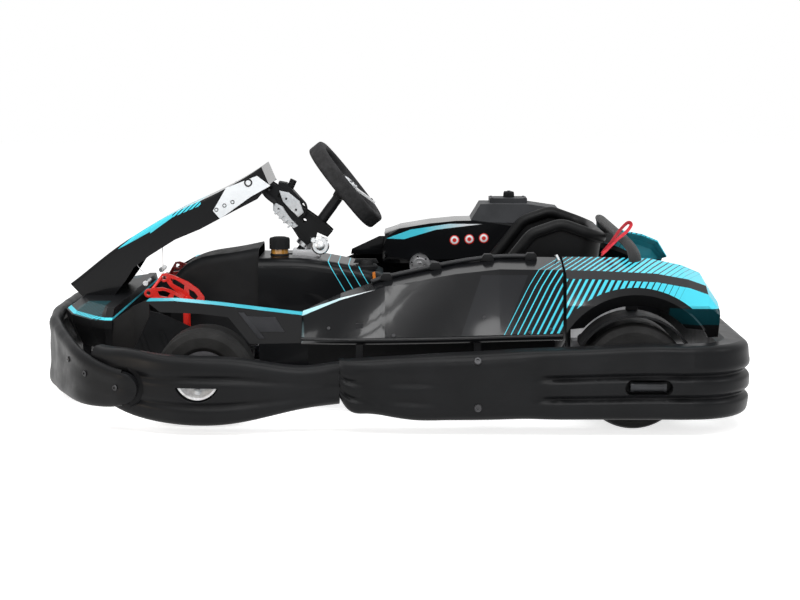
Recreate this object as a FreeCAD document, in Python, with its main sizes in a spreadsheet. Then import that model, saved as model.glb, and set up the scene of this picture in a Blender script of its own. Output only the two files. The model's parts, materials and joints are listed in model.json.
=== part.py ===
"""Rental racing kart: tube frame, moulded guard ring, fairings, seat and running gear.

Millimetres.  +X is the front, +Y the driver's left, +Z up, and the origin is on the
ground at the middle of the overall length and width.  Every driving size is a cell of
the sheet, and each sub-part is worked out from those cells.
"""
import FreeCAD, Part
import math
import os
import Sketcher

Vec = FreeCAD.Vector

SIZES = {
    # overall
    "rearOverhang": 308, "wheelbase": 1125, "frontOverhang": 477, "overallWidth": 1380,
    # wheels
    "frontTyreDia": 260, "frontTyreWide": 125, "frontRoom": 129.5, "rearTyreDia": 280,
    "rearTyreWide": 180, "rearRoom": 20, "rimDia": 128, "rimWall": 5, "tyreShoulder": 22,
    "runFit": 0.08,
    # frame
    "tubeDia": 30, "railZ": 66, "railRearZ": 95, "railFrontY": 195, "railWaist": 30,
    "railRoom": 75, "railAhead": 282, "railBehind": 153, "bendRadius": 90, "barDia": 25,
    "trayThick": 4, "trayAhead": 222, "trayStart": 587, "ballastIn": 100, "ballastY": 215,
    "ballastLong": 60, "ballastWide": 40, "ballastHole": 8.5,
    # rear axle
    "axleDia": 30, "axleBore": 20, "axleBoreDeep": 60, "axleStub": 25, "hubDia": 62,
    "hubLong": 60, "carrierLong": 40, "carrierDia": 68, "discDia": 190, "discThick": 8,
    "discIn": 80, "sprocketDia": 200, "sprocketThick": 7, "sprocketIn": 75,
    # front stubs and steering
    "kingPinIn": 98, "kingPinDia": 10, "yokeHigh": 84, "yokeWide": 30, "yokeReach": 27,
    "yokePlate": 8, "stubDia": 20, "armLong": 100, "armThick": 8, "rodDia": 12, "rodEyeDia": 22,
    "eyeBolt": 8, "columnDia": 20, "sleeveDia": 31, "hubBack": 324, "hubZ": 552,
    "columnLean": 53.7, "pitmanUp": 86, "pitmanLong": 52, "pitmanGap": 50,
    "wheelLean": 38.5, "wheelWide": 310, "wheelTall": 262, "rimDeep": 46, "rimThick": 27,
    "pedalY": 165, "pedalWide": 44, "pedalPlate": 6, "pedalEye": 24, "pedalHole": 12,
    # guard ring
    "guardThick": 85, "guardHigh": 228, "guardLow": 43, "neckBack": 360, "neckHigh": 188,
    "neckLow": 82, "rearCorner": 170, "grooveLow": 0.3, "grooveHigh": 0.6, "grooveHalf": 10,
    "grooveDeep": 13, "bandThick": 22, "bandHigh": 262, "bandLow": 63, "bandEndBack": 317,
    "bandEndIn": 26, "bandSink": 15,
    "headAhead": 4, "headZ": 150, "headBrow": 128, "headDia": 120, "headDeep": 48,
    "tailBehind": 25, "tailZ": 131, "tailLong": 122, "tailHigh": 40, "tailDeep": 44,
    # bodywork
    "skin": 4, "archHalf": 125, "archRound": 9, "tankHalf": 125, "consoleHalf": 110,
    "fairingIn": 170, "deckWide": 120, "archRadius": 214, "guardGap": 18, "mudThick": 6,
    # seat and engine
    "seatHalf": 205, "seatWall": 6, "rimRoll": 34, "hoopWide": 46, "hoopThick": 26,
    "engineAhead": 587, "engineLong": 340, "engineRoom": 35, "engineIn": 90, "engineHigh": 270,
    "engineZ": 100,
}


class Size:
    """A number that remembers the sheet expression that gives it."""

    def __init__(self, value, text=None):
        self.value = float(value)
        self.text = text or "%.6g" % value

    def mix(self, other, sign, value):
        return Size(value, "(%s %s %s)" % (self.text, sign, asSize(other).text))

    def __add__(self, other):
        return self.mix(other, "+", self.value + float(other))

    def __sub__(self, other):
        return self.mix(other, "-", self.value - float(other))

    def __mul__(self, other):
        return self.mix(other, "*", self.value * float(other))

    def __truediv__(self, other):
        return self.mix(other, "/", self.value / float(other))

    def __radd__(self, other):
        return asSize(other) + self

    def __rsub__(self, other):
        return asSize(other) - self

    def __rmul__(self, other):
        return asSize(other) * self

    def __neg__(self):
        return Size(-self.value, "(0 - %s)" % self.text)

    def __float__(self):
        return self.value


def asSize(number):
    return number if isinstance(number, Size) else Size(number)


doc = FreeCAD.newDocument("RacingKart")
sheet = doc.addObject("Spreadsheet::Sheet", "Sizes")
for row, (alias, value) in enumerate(SIZES.items(), start=1):
    sheet.set("A%d" % row, alias)
    sheet.set("B%d" % row, str(value))
    sheet.setAlias("B%d" % row, alias)
doc.recompute()


class Named:
    """The sheet's cells as Size values, one attribute each."""


k = Named()
for alias in SIZES:
    setattr(k, alias, Size(getattr(sheet, alias), "Sizes." + alias))

nodes = []


# document helpers
def label(thing, name):
    thing.Label = name
    nodes.append(thing)
    return thing


def bind(thing, prop, size):
    """Set one property and, where the size comes from the sheet, its expression."""
    if prop.isidentifier():
        setattr(thing, prop, float(size))
    if isinstance(size, Size) and "Sizes." in size.text:
        thing.setExpression(prop, size.text)


def place(thing, x, y, z, axis=Vec(0, 0, 1), angle=0.0):
    thing.Placement = FreeCAD.Placement(Vec(float(x), float(y), float(z)),
                                        FreeCAD.Rotation(axis, float(angle)))
    for prop, size in zip(("x", "y", "z"), (x, y, z)):
        bind(thing, "Placement.Base." + prop, size)


def box(name, x, y, z, long, wide, high):
    thing = doc.addObject("Part::Box", name)
    for prop, size in (("Length", long), ("Width", wide), ("Height", high)):
        bind(thing, prop, size)
    place(thing, x, y, z)
    return thing


def cylinder(name, centre, axis, radius, length):
    """A cylinder of a length, centred on a point, along an axis."""
    thing = doc.addObject("Part::Cylinder", name)
    bind(thing, "Radius", radius)
    bind(thing, "Height", length)
    turn = FreeCAD.Rotation(Vec(0, 0, 1), axis)
    start = [asSize(c) - asSize(length) * (a / 2) for c, a in zip(centre, axis)]
    thing.Placement = FreeCAD.Placement(Vec(*[float(s) for s in start]), turn)
    for prop, size in zip(("x", "y", "z"), start):
        bind(thing, "Placement.Base." + prop, size)
    return thing


def fuse(name, things):
    whole = doc.addObject("Part::MultiFuse", name)
    whole.Shapes = things
    return whole


def cut(name, base, tool):
    whole = doc.addObject("Part::Cut", name)
    whole.Base = base
    whole.Tool = tool
    return whole


def feature(name, shape):
    thing = doc.addObject("Part::Feature", name)
    thing.Shape = shape
    return thing


def mirror(thing, name):
    other = doc.addObject("Part::Mirroring", name)
    other.Source = thing
    other.Normal = Vec(0, 1, 0)
    return other


def plane(body, role):
    return [one for one in body.Origin.OriginFeatures if one.Role == role][0]


def outline(body, name, role, points, offset=0):
    """A closed sketch through points.

    A point with a third entry starts an arc of that radius to the next point, which
    bulges to the right of the way from one to the other, or to the left if negative.
    """
    sketch = body.newObject("Sketcher::SketchObject", name)
    sketch.AttachmentSupport = [(plane(body, role), "")]
    sketch.MapMode = "FlatFace"
    sketch.AttachmentOffset = FreeCAD.Placement(Vec(0, 0, float(offset)), FreeCAD.Rotation())
    bind(sketch, "AttachmentOffset.Base.z", asSize(offset))
    flat = [Vec(float(point[0]), float(point[1]), 0) for point in points]
    for i, start in enumerate(flat):
        end = flat[(i + 1) % len(flat)]
        if len(points[i]) == 3:
            sketch.addGeometry(Part.Arc(start, bulge(start, end, float(points[i][2])), end), False)
        else:
            sketch.addGeometry(Part.LineSegment(start, end), False)
    first = [1 if (edge.StartPoint - point).Length < 1e-6 else 2
             for edge, point in zip(sketch.Geometry, flat)]
    for i, start in enumerate(first):
        j = (i + 1) % len(first)
        sketch.addConstraint(Sketcher.Constraint("Coincident", i, 3 - start, j, first[j]))
        fix(sketch, i, start, points[i])
        if len(points[i]) == 3:
            radius = asSize(points[i][2])
            radius = -radius if float(radius) < 0 else radius
            index = sketch.addConstraint(Sketcher.Constraint("Radius", i, float(radius)))
            bind(sketch, "Constraints[%d]" % index, radius)
    return sketch


def bulge(start, end, radius):
    """Middle point of the shorter arc of a radius between two points."""
    chord = end - start
    half = chord.Length / 2
    rise = abs(radius) - math.sqrt(max(radius * radius - half * half, 0))
    side = Vec(chord.y, -chord.x, 0).normalize()
    return (start + end) * 0.5 + side * math.copysign(rise, radius)


def fix(sketch, edge, end, point):
    """Hold one point of a sketch at sizes measured from the origin."""
    for kind, size in zip(("DistanceX", "DistanceY"), point):
        index = sketch.addConstraint(Sketcher.Constraint(kind, -1, 1, edge, end, float(size)))
        bind(sketch, "Constraints[%d]" % index, asSize(size))


def newBody(name):
    return doc.addObject("PartDesign::Body", name)


def padBody(name, role, points, start, length):
    """A body padded from one outline: `length` along the plane's normal from `start`."""
    body = newBody(name)
    sketch = outline(body, name + "Outline", role, points, start)
    pad = body.newObject("PartDesign::Pad", name + "Pad")
    pad.Profile = sketch
    bind(pad, "Length", asSize(length))
    return body


# shape helpers
def route(points, radius):
    """Straight runs joined by tangent arcs, as one wire."""
    runs = [Vec(*[float(c) for c in point]) for point in points]
    edges = []
    last = runs[0]
    for before, corner, after in zip(runs, runs[1:], runs[2:]):
        back = (before - corner).normalize()
        ahead = (after - corner).normalize()
        half = back.getAngle(ahead) / 2
        reach = float(radius) / math.tan(half)
        start = corner + back * reach
        end = corner + ahead * reach
        inner = (back + ahead).normalize()
        middle = corner + inner * (float(radius) / math.sin(half) - float(radius))
        if (start - last).Length > 1e-3:
            edges.append(Part.LineSegment(last, start).toShape())
        edges.append(Part.Arc(start, middle, end).toShape())
        last = end
    edges.append(Part.LineSegment(last, runs[-1]).toShape())
    return Part.Wire(edges)


def tube(points, diameter, radius):
    """A round bar along a bent route."""
    path = route(points, radius)
    start = path.Edges[0]
    along = start.tangentAt(start.FirstParameter)
    ring = Part.Wire(Part.makeCircle(float(diameter) / 2, start.valueAt(start.FirstParameter), along))
    sweep = Part.BRepOffsetAPI.MakePipeShell(path)
    sweep.add(ring)
    sweep.setTransitionMode(0)
    sweep.build()
    sweep.makeSolid()
    return sweep.shape()


def spline(points):
    curve = Part.BSplineCurve()
    curve.interpolate([Vec(*point) for point in points])
    return curve.toShape()


def lines(points):
    return [Part.LineSegment(Vec(*a), Vec(*b)).toShape() for a, b in zip(points, points[1:])]


def polygon(points):
    return Part.Wire(lines(points + points[:1]))


def panel(stations, ruled=False):
    """A solid lofted through outlines in planes across the kart, [(x, [(y, z), ...])]."""
    wires = [polygon([(float(x), float(y), float(z)) for y, z in points])
             for x, points in stations]
    return Part.makeLoft(wires, True, ruled)


def evened(stations, step):
    """Stations with others worked out between them, no further apart than a step."""
    filled = [stations[0]]
    for before, after in zip(stations, stations[1:]):
        far = math.hypot(float(after[0]) - float(before[0]), float(after[1]) - float(before[1]))
        count = max(1, math.ceil(far / step))
        for i in range(1, count + 1):
            filled.append([float(a) + (float(b) - float(a)) * i / count
                           for a, b in zip(before, after)])
    return filled


def sweepStations(stations, section, step=110):
    """Loft sections stood upright along a plan path: (x, y, outward angle, values...)."""
    wires = []
    for x, y, angle, *values in evened(stations, step):
        out = Vec(math.cos(math.radians(angle)), math.sin(math.radians(angle)), 0)
        foot = Vec(float(x), float(y), 0)
        wires.append(section(lambda n, z: foot + out * float(n) + Vec(0, 0, float(z)), *values))
    return Part.makeLoft(wires, True, False)


# shared places
noseX = (k.rearOverhang + k.wheelbase + k.frontOverhang) / 2
halfWide = k.overallWidth / 2
frontAxleX = noseX - k.frontOverhang
rearAxleX = k.rearOverhang - noseX
frontZ = k.frontTyreDia / 2
rearZ = k.rearTyreDia / 2
frontTyreY = halfWide - k.frontRoom - k.frontTyreWide / 2
rearTyreY = halfWide - k.guardThick - k.rearRoom - k.rearTyreWide / 2
kingPinY = frontTyreY - k.kingPinIn
axleHalf = rearTyreY + k.axleStub
railRearY = rearTyreY - k.rearTyreWide / 2 - k.railRoom
railMidY = railRearY - k.railWaist
railFrontX = frontAxleX + k.railAhead
railRearX = rearAxleX - k.railBehind
discY = railRearY - k.discIn
sprocketY = k.sprocketIn - railRearY
tubeR = k.tubeDia / 2
trayZ = k.railZ - tubeR - k.trayThick
trayRearX = rearAxleX + k.trayStart
hubX = frontAxleX - k.hubBack
neckX = frontAxleX - k.neckBack
bandEndX = noseX - k.bandEndBack
bandEndY = halfWide - k.bandEndIn
headX = frontAxleX + k.headAhead
tailX = rearAxleX - k.tailBehind
fairingY = halfWide - k.fairingIn
mountX = [rearAxleX + 717, rearAxleX + 407]
engineX = rearAxleX + k.engineAhead
engineSide = k.seatHalf + k.engineRoom
engineWide = fairingY - k.engineIn - engineSide

# How far each datum has moved from where the outlines below were drawn
nose = float(noseX) - 955
fore = float(frontAxleX) - 478
aft = float(rearAxleX) + 647
wider = float(halfWide) - 690

headY = halfWide - k.headDeep
columnAxis = Vec(-math.cos(math.radians(float(k.columnLean))), 0,
                 math.sin(math.radians(float(k.columnLean))))


def onColumn(up):
    """The point of the column axis at a distance below (-) or above (+) the hub."""
    return Vec(float(hubX), 0, float(k.hubZ)) + columnAxis * float(up)


def bar(start, end, diameter):
    a = Vec(*[float(c) for c in start])
    b = Vec(*[float(c) for c in end])
    return Part.makeCylinder(float(diameter) / 2, (b - a).Length, a, b - a)


def block(x0, x1, y0, y1, z0, z1):
    return Part.makeBox(float(x1) - float(x0), float(y1) - float(y0), float(z1) - float(z0),
                        Vec(float(x0), float(y0), float(z0)))


def without(shape, *names):
    """A shape cut back to the faces of the named nodes that it seats against."""
    return shape.cut([thing.Shape for thing in nodes if thing.Label in names])


def both(shape):
    """A shape and its mirror image across the kart's middle plane."""
    return [shape, shape.mirror(Vec(0, 0, 0), Vec(0, 1, 0))]


# frame
def sideRail():
    points = [(railFrontX, k.railFrontY, k.railZ),
              (frontAxleX - 60, k.railFrontY, k.railZ),
              (frontAxleX - 230, railMidY, k.railZ),
              (rearAxleX + 317, railRearY, k.railZ),
              (rearAxleX + 120, railRearY, k.railRearZ),
              (railRearX, railRearY, k.railRearZ)]
    return feature("SideRailLeft", tube(points, k.tubeDia, k.bendRadius))


def crossTubes():
    """Front, middle, seat and rear cross tubes, and the front axle beam."""
    spans = [(railFrontX - 40, k.railFrontY, k.railZ), (rearAxleX + 547, railRearY - 18, k.railZ),
             (rearAxleX + 130, railRearY, k.railRearZ),
             (railRearX + 30, railRearY, k.railRearZ)]
    solids = [bar((x, -y, z), (x, y, z), k.tubeDia) for x, y, z in spans]
    yoke = kingPinY - k.yokeReach
    solids.append(bar((frontAxleX, -yoke, frontZ - 30), (frontAxleX, yoke, frontZ - 30), k.tubeDia))
    rails = rail.Shape.fuse(railRight.Shape)
    return feature("CrossTubes", Part.makeCompound(solids).cut(rails))


def guardBars():
    """Bars that carry the guard ring and the front bumper from the side rails."""
    inner = float(halfWide) - float(k.guardThick)
    solids = []
    for x in mountX:
        solids += both(bar((x, railMidY + 10, k.railZ), (x, inner + 14, k.railZ + 40), k.barDia))
    back = -float(noseX) + float(k.guardThick)
    solids += both(bar((railRearX + 8, railRearY, k.railRearZ),
                       (back - 6, railRearY, k.railRearZ), k.barDia))
    front = bar((railFrontX - 10, k.railFrontY, k.railZ + 8),
                (noseX - 16, k.railFrontY, k.railZ + 50), k.barDia)
    post = block(noseX - 117, noseX - 93, k.railFrontY - 3, k.railFrontY + 3, k.railZ + 10, 176)
    solids += both(front.fuse(post))
    return feature("GuardBars", without(Part.makeCompound(solids), "side_rail_left",
                                        "side_rail_right", "rear_guard_left", "rear_guard_right",
                                        "front_bumper"))


def floorTray():
    points = [(trayRearX, railMidY), (frontAxleX - 210, railMidY),
              (frontAxleX - 60, k.railFrontY + 12), (frontAxleX + k.trayAhead, k.railFrontY + 12)]
    far = [(x, -y) for x, y in reversed(points)]
    tray = padBody("FloorTrayPlate", "XY_Plane", points + far, trayZ, k.trayThick)
    holes = []
    for along in (-0.5, 0.5):
        for out in (-0.5, 0.5):
            spot = (trayRearX + k.ballastIn + k.ballastLong * along,
                    k.ballastY + k.ballastWide * out, trayZ)
            holes.append(cylinder("BallastHole", spot, Vec(0, 0, 1), k.ballastHole / 2, 40))
    return cut("FloorTray", tray, fuse("BallastHoles", holes))


def kingPinYokes():
    """The forks at the ends of the axle beam that hold the king pins."""
    low = frontZ - k.yokeHigh / 2
    high = frontZ + k.yokeHigh / 2
    gap = k.yokePlate
    shapes = []
    x0, x1 = frontAxleX - k.yokeWide / 2, frontAxleX + k.yokeWide / 2
    y0, y1 = kingPinY - k.yokeReach, kingPinY + 14
    shapes.append(block(x0, x1, y0, y1, low, low + gap))
    shapes.append(block(x0, x1, y0, y1, high - gap, high))
    shapes.append(block(x0, x1, y0, y0 + gap, low, high))
    fork = shapes[0].fuse(shapes[1:])
    pin = bar((frontAxleX, kingPinY, low - 6), (frontAxleX, kingPinY, high + 6), k.kingPinDia)
    fork = fork.fuse(pin)
    return feature("KingPinYokes", Part.makeCompound(both(fork)))


# front running gear
def knuckle():
    """Upright sleeve on the king pin, stub axle and steering arm with its eye bolt."""
    low = float(frontZ - k.yokeHigh / 2 + k.yokePlate) + 0.3
    high = float(frontZ + k.yokeHigh / 2 - k.yokePlate) - 0.3
    x, y = float(frontAxleX), float(kingPinY)
    sleeve = bar((x, y, low), (x, y, high), 22)
    stub = bar((x, y, frontZ), (x, frontTyreY + 30, frontZ), k.stubDia)
    shoulder = bar((x, y, frontZ), (x, y + 22, frontZ), 28)
    armZ = low + 1
    eyeX = x - float(k.armLong)
    top = armZ + float(k.armThick)
    arm = block(eyeX, x - 6, y - 7, y + 7, armZ, top)
    eye = bar((eyeX, y, armZ), (eyeX, y, top), 24)
    bolt = bar((eyeX, y, armZ), (eyeX, y, top + 22), k.eyeBolt)
    bore = bar((x, y, low - 1), (x, y, high + 1), k.kingPinDia + k.runFit * 2)
    whole = sleeve.fuse([stub, shoulder, arm, eye, bolt]).cut(bore)
    return feature("KnuckleLeft", whole)


def tieRod():
    """Rod from the steering arm's bolt to just under the pitman arm."""
    low = float(frontZ - k.yokeHigh / 2 + k.yokePlate) + 1.3 + float(k.armThick)
    outer = Vec(float(frontAxleX - k.armLong), float(kingPinY), low + 7.3)
    inner = Vec(float(frontAxleX) - 82, float(k.pitmanGap) / 2, low + 7.3)
    rod = bar(outer, inner, k.rodDia)
    eyes = [bar(p - Vec(0, 0, 7), p + Vec(0, 0, 7), k.rodEyeDia) for p in (outer, inner)]
    bore = bar(outer - Vec(0, 0, 9), outer + Vec(0, 0, 9), k.eyeBolt + k.runFit * 2)
    hole = bar(inner - Vec(0, 0, 9), inner + Vec(0, 0, 9), k.eyeBolt + k.runFit * 5)
    return feature("TieRodLeft", rod.fuse(eyes).cut(bore.fuse(hole)))


def tyreBody(name, y, dia, wide, width):
    """A tyre turned about the wheel axis: flat tread, bevelled shoulders, open bead."""
    r = dia / 2
    half = wide / 2
    bead = k.rimDia / 2
    turn = k.tyreShoulder
    points = [(-half + 8, bead), (-half + 8, bead + 8), (-half, bead + 18), (-half, r - turn),
              (-half + turn * 0.3, r - turn * 0.3), (-half + turn, r), (half - turn, r),
              (half - turn * 0.3, r - turn * 0.3), (half, r - turn), (half, bead + 18),
              (half - 8, bead + 8), (half - 8, bead)]
    return wheelBody(name, points, y, width)


def wheelBody(name, points, y, x):
    """Turn an outline of (along the axle, radius) about a wheel's axle."""
    body = newBody(name)
    moved = [(p[0] + y, p[1]) + tuple(p[2:]) for p in points]
    sketch = outline(body, name + "Outline", "YZ_Plane", moved, 0)
    turn = body.newObject("PartDesign::Revolution", name + "Turn")
    turn.Profile = sketch
    turn.ReferenceAxis = (sketch, ["H_Axis"])
    turn.Angle = 360
    bind(body, "Placement.Base.x", x)
    return body


def rimBody(name, y, wide, x, bore):
    """A split rim with a dished web and a hub, turned about the wheel axis."""
    seat = k.rimDia / 2
    half = wide / 2
    wall = k.rimWall
    points = [(-half + 2, seat + 8), (-half + 2, seat - wall), (-wall, seat - wall),
              (-wall, bore + 14), (-half + 14, bore + 14), (-half + 14, bore),
              (half - 22, bore), (half - 22, bore + 14), (wall, bore + 14), (wall, seat - wall),
              (half - 2, seat - wall), (half - 2, seat + 8), (half - 8, seat + 8),
              (half - 8, seat), (-half + 8, seat), (-half + 8, seat + 8)]
    return wheelBody(name, points, y, x)


def lift(body, z):
    bind(body, "Placement.Base.z", z)
    return body


# rear axle
def rearAxle():
    """Axle with bored ends, hubs, sprocket and brake disc, all turning together."""
    centre = (rearAxleX, 0, rearZ)
    shaft = cylinder("AxleBar", centre, Vec(0, 1, 0), k.axleDia / 2, axleHalf * 2)
    hubs, bores = [], []
    inner = rearTyreY - k.rearTyreWide / 2 + 10
    for name, side in (("Left", 1), ("Right", -1)):
        spot = (rearAxleX, (inner - k.hubLong / 2) * side, rearZ)
        hubs.append(cylinder("Hub" + name, spot, Vec(0, 1, 0), k.hubDia / 2, k.hubLong))
        tip = (rearAxleX, (axleHalf - k.axleBoreDeep / 2) * side, rearZ)
        bores.append(cylinder("AxleBore" + name, tip, Vec(0, 1, 0), k.axleBore / 2, k.axleBoreDeep))
    disc = cylinder("BrakeDisc", (rearAxleX, discY, rearZ), Vec(0, 1, 0), k.discDia / 2,
                    k.discThick)
    wheel = cylinder("Sprocket", (rearAxleX, sprocketY, rearZ), Vec(0, 1, 0),
                     k.sprocketDia / 2, k.sprocketThick)
    for name, y, ring, size in (("Disc", discY, k.discDia * 0.37, 16),
                                ("Sprocket", sprocketY, k.sprocketDia * 0.33, 30)):
        for i in range(6):
            turn = math.radians(60 * i + 30)
            spot = (rearAxleX + ring * math.cos(turn), y, rearZ + ring * math.sin(turn))
            bores.append(cylinder("%sHole%d" % (name, i), spot, Vec(0, 1, 0), Size(size / 2), 20))
    return cut("RearAxle", fuse("AxleParts", [shaft, disc, wheel] + hubs), fuse("AxleBores", bores))


def bearingCarriers():
    shapes = []
    half = float(k.carrierLong) / 2
    x, z = float(rearAxleX), float(rearZ)
    low = float(k.railRearZ + tubeR) - 6
    stand = block(x - 34, x + 34, railRearY - half, railRearY + half, low, z)
    ring = bar((x, railRearY - half, z), (x, railRearY + half, z), k.carrierDia)
    bore = bar((x, railRearY - 80, z), (x, railRearY + 80, z), k.axleDia + k.runFit * 2)
    carrier = stand.fuse(ring).cut(bore).cut(rail.Shape)
    return feature("BearingCarriers", Part.makeCompound(both(carrier)))


def brakeCaliper():
    """Caliper astride the disc's front edge, on a foot from the rear cross tube."""
    x, z = float(rearAxleX) + float(k.discDia) / 2, float(rearZ)
    y = float(discY)
    body = block(x - 28, x + 40, y - 28, y + 28, z - 10, z + 46)
    slot = block(x - 40, x + 8, y - 11, y + 11, z - 40, z + 80)
    foot = block(x + 22, x + 40, y - 20, y + 20, k.railRearZ, z)
    return feature("BrakeCaliper", without(body.fuse(foot).cut(slot), "cross_tubes"))


# steering
def steeringColumn():
    """Shaft, sleeve, hub boss and the pitman arm at its foot."""
    slope = columnAxis.z
    foot = onColumn((124 - float(k.hubZ)) / slope)
    root = onColumn((float(frontZ + k.pitmanUp) - 44 - float(k.hubZ)) / slope)
    shaft = bar(foot, onColumn(0), k.columnDia)
    sleeve = bar(onColumn(-80), onColumn(-14), k.sleeveDia)
    boss = bar(onColumn(-16), onColumn(10), 30)
    collar = bar(root - columnAxis * 12, root + columnAxis * 12, 36)
    wide = float(k.pitmanGap) + 24
    arm = Part.makeBox(float(k.pitmanLong) + 12, wide, 8, Vec(0, -wide / 2, -4))
    down = Vec(-columnAxis.z, 0, columnAxis.x)
    arm.Placement = FreeCAD.Placement(root, FreeCAD.Rotation(down, Vec(0, -1, 0), columnAxis, "XYZ"))
    return feature("SteeringColumn", shaft.fuse([sleeve, boss, arm, collar]))


def wheelFrame():
    """Placement of the steering wheel: X across the kart, Y up the rim, Z the normal."""
    lean = math.radians(float(k.wheelLean))
    normal = Vec(-math.cos(lean), 0, math.sin(lean))
    up = normal.cross(Vec(0, -1, 0))
    return FreeCAD.Placement(Vec(float(hubX) - 27, 0, float(k.hubZ) + 49),
                             FreeCAD.Rotation(Vec(0, -1, 0), up, normal, "XYZ"))


def steeringWheel():
    """Padded rim with a flat foot on a flat spoked plate, on an angled hub."""
    half, tall = float(k.wheelWide) / 2, float(k.wheelTall) / 2
    deep, thick = float(k.rimDeep), float(k.rimThick)

    def rimFace(inset, high):
        a, b = half - inset, tall - inset
        top = [(0.45 * a, b), (0.82 * a, 0.72 * b), (a, 0.25 * b), (0.97 * a, -0.25 * b),
               (0.80 * a, -0.78 * b), (0.52 * a, -b)]
        ring = top + [(-x, y) for x, y in reversed(top)]
        curve = Part.BSplineCurve()
        curve.interpolate([Vec(x, y, -high / 2) for x, y in ring], PeriodicFlag=True)
        return Part.Face(Part.Wire([curve.toShape()])).extrude(Vec(0, 0, high))

    rim = rimFace(0, deep).cut(rimFace(thick, deep + 2))
    rim = rim.makeFillet(9, [e for e in rim.Edges if e.Length > 300])
    inner = rimFace(thick - 4, 5)
    spokes = Part.makeBox(2 * half, 34, 5, Vec(-half, -6, -2.5))
    lower = Part.makeBox(46, tall, 5, Vec(-23, -tall, -2.5))
    hub = Part.makeCylinder(38, 5, Vec(0, 0, -2.5))
    holes = [Part.makeCylinder(9, 20, Vec(x, 10, -10)) for x in (-62, -88, 62, 88)]
    plate = spokes.fuse([lower, hub]).common(inner).cut(holes[0].fuse(holes[1:]))
    whole = rim.fuse(plate)
    whole.Placement = wheelFrame()
    neck = bar(onColumn(10), wheelFrame().Base, 34)
    return feature("SteeringWheel", without(whole.fuse(neck), "steering_column"))


def columnBearings():
    """Pedestal bearing on the tank and the foot bearing on the axle beam."""
    slope = columnAxis.z
    top = onColumn((436 - float(k.hubZ)) / slope)
    housing = bar(top - columnAxis * 20, top + columnAxis * 20, 48)
    saddle = block(top.x - 40, top.x + 40, -30, 30, 392, 412)
    low = onColumn((132 - float(k.hubZ)) / slope)
    socket = bar(low - columnAxis * 9, low + columnAxis * 9, 36)
    cradle = block(frontAxleX - 14, frontAxleX + 14, -16, 16, frontZ - 30, frontZ - 2)
    bore = bar(onColumn(-600), onColumn(0), k.columnDia + k.runFit * 2)
    upper = housing.fuse(saddle).cut(bore)
    lower = socket.fuse(cradle).cut(bore)
    return feature("ColumnBearings", without(Part.makeCompound([upper, lower]), "fuel_tank",
                                             "cross_tubes"))


def steeringArm():
    """Forked brace from the front arch down past the steering column, with its covers."""
    cheek = [(378, 640), (374, 598), (352, 574), (296, 500), (262, 446), (238, 424), (214, 440), (208, 462),
             (177, 448), (162, 466), (190, 492), (236, 524), (300, 582), (346, 612), (356, 650)]
    solids = [padShape([(x, y, z) for x, z in cheek], Vec(0, 5, 0)) for y in (23, -28)]
    holes = []
    for i in range(5):
        x, z = 340 - 24 * i, 592 - 24 * i
        holes.append(bar((x, -40, z), (x, 40, z), 12))
    web = padShape([(364, -20, 604), (340, -20, 580), (280, -20, 516), (262, -20, 536),
                    (318, -20, 590)], Vec(0, 40, 0))
    cover = padShape([(322, -24, 586), (300, -24, 583), (256, -24, 540), (246, -24, 548),
                      (296, -24, 604), (318, -24, 608)], Vec(0, 48, 0))
    knob = bar((286, 0, 590), (276, 0, 612), 20)
    whole = solids[0].fuse(solids[1]).cut(holes[0].fuse(holes[1:])).fuse([web, cover, knob])
    return feature("SteeringArm", without(whole.translated(Vec(fore, 0, 0)), "front_arch",
                                          "column_bearings"))


def padShape(points, along):
    return Part.Face(polygon(points)).extrude(along)


# guard ring
def guardSection(at, low, high, thick, groove, upper=0):
    """Moulded section: flat inner wall, round shoulders and two grooves between bulges."""
    tall = high - low
    lowGroove, highGroove = low + k.grooveLow * tall, low + (k.grooveHigh + upper) * tall
    half = float(k.grooveHalf)
    outer = [(-25, low), (-7, low + 0.05 * tall), (-0.2 * groove, low + 0.5 * (lowGroove - low)),
             (-1 - 0.25 * groove, lowGroove - half), (-1 - groove, lowGroove),
             (-1 - 0.25 * groove, lowGroove + half), (0, (lowGroove + highGroove) / 2),
             (-1 - 0.25 * groove, highGroove - half), (-1 - groove, highGroove),
             (-1 - 0.25 * groove, highGroove + half), (-0.2 * groove, high - 0.5 * (high - highGroove)),
             (-7, high - 0.06 * tall), (-25, high)]
    outer = [(n, float(z)) for n, z in outer]
    inner = [(-25, high), (18 - thick, high), (-thick, high - 14), (-thick, low + 14),
             (18 - thick, low), (-25, low)]
    return Part.Wire([spline([at(*p) for p in outer])] + lines([at(*p) for p in inner]))


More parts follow.
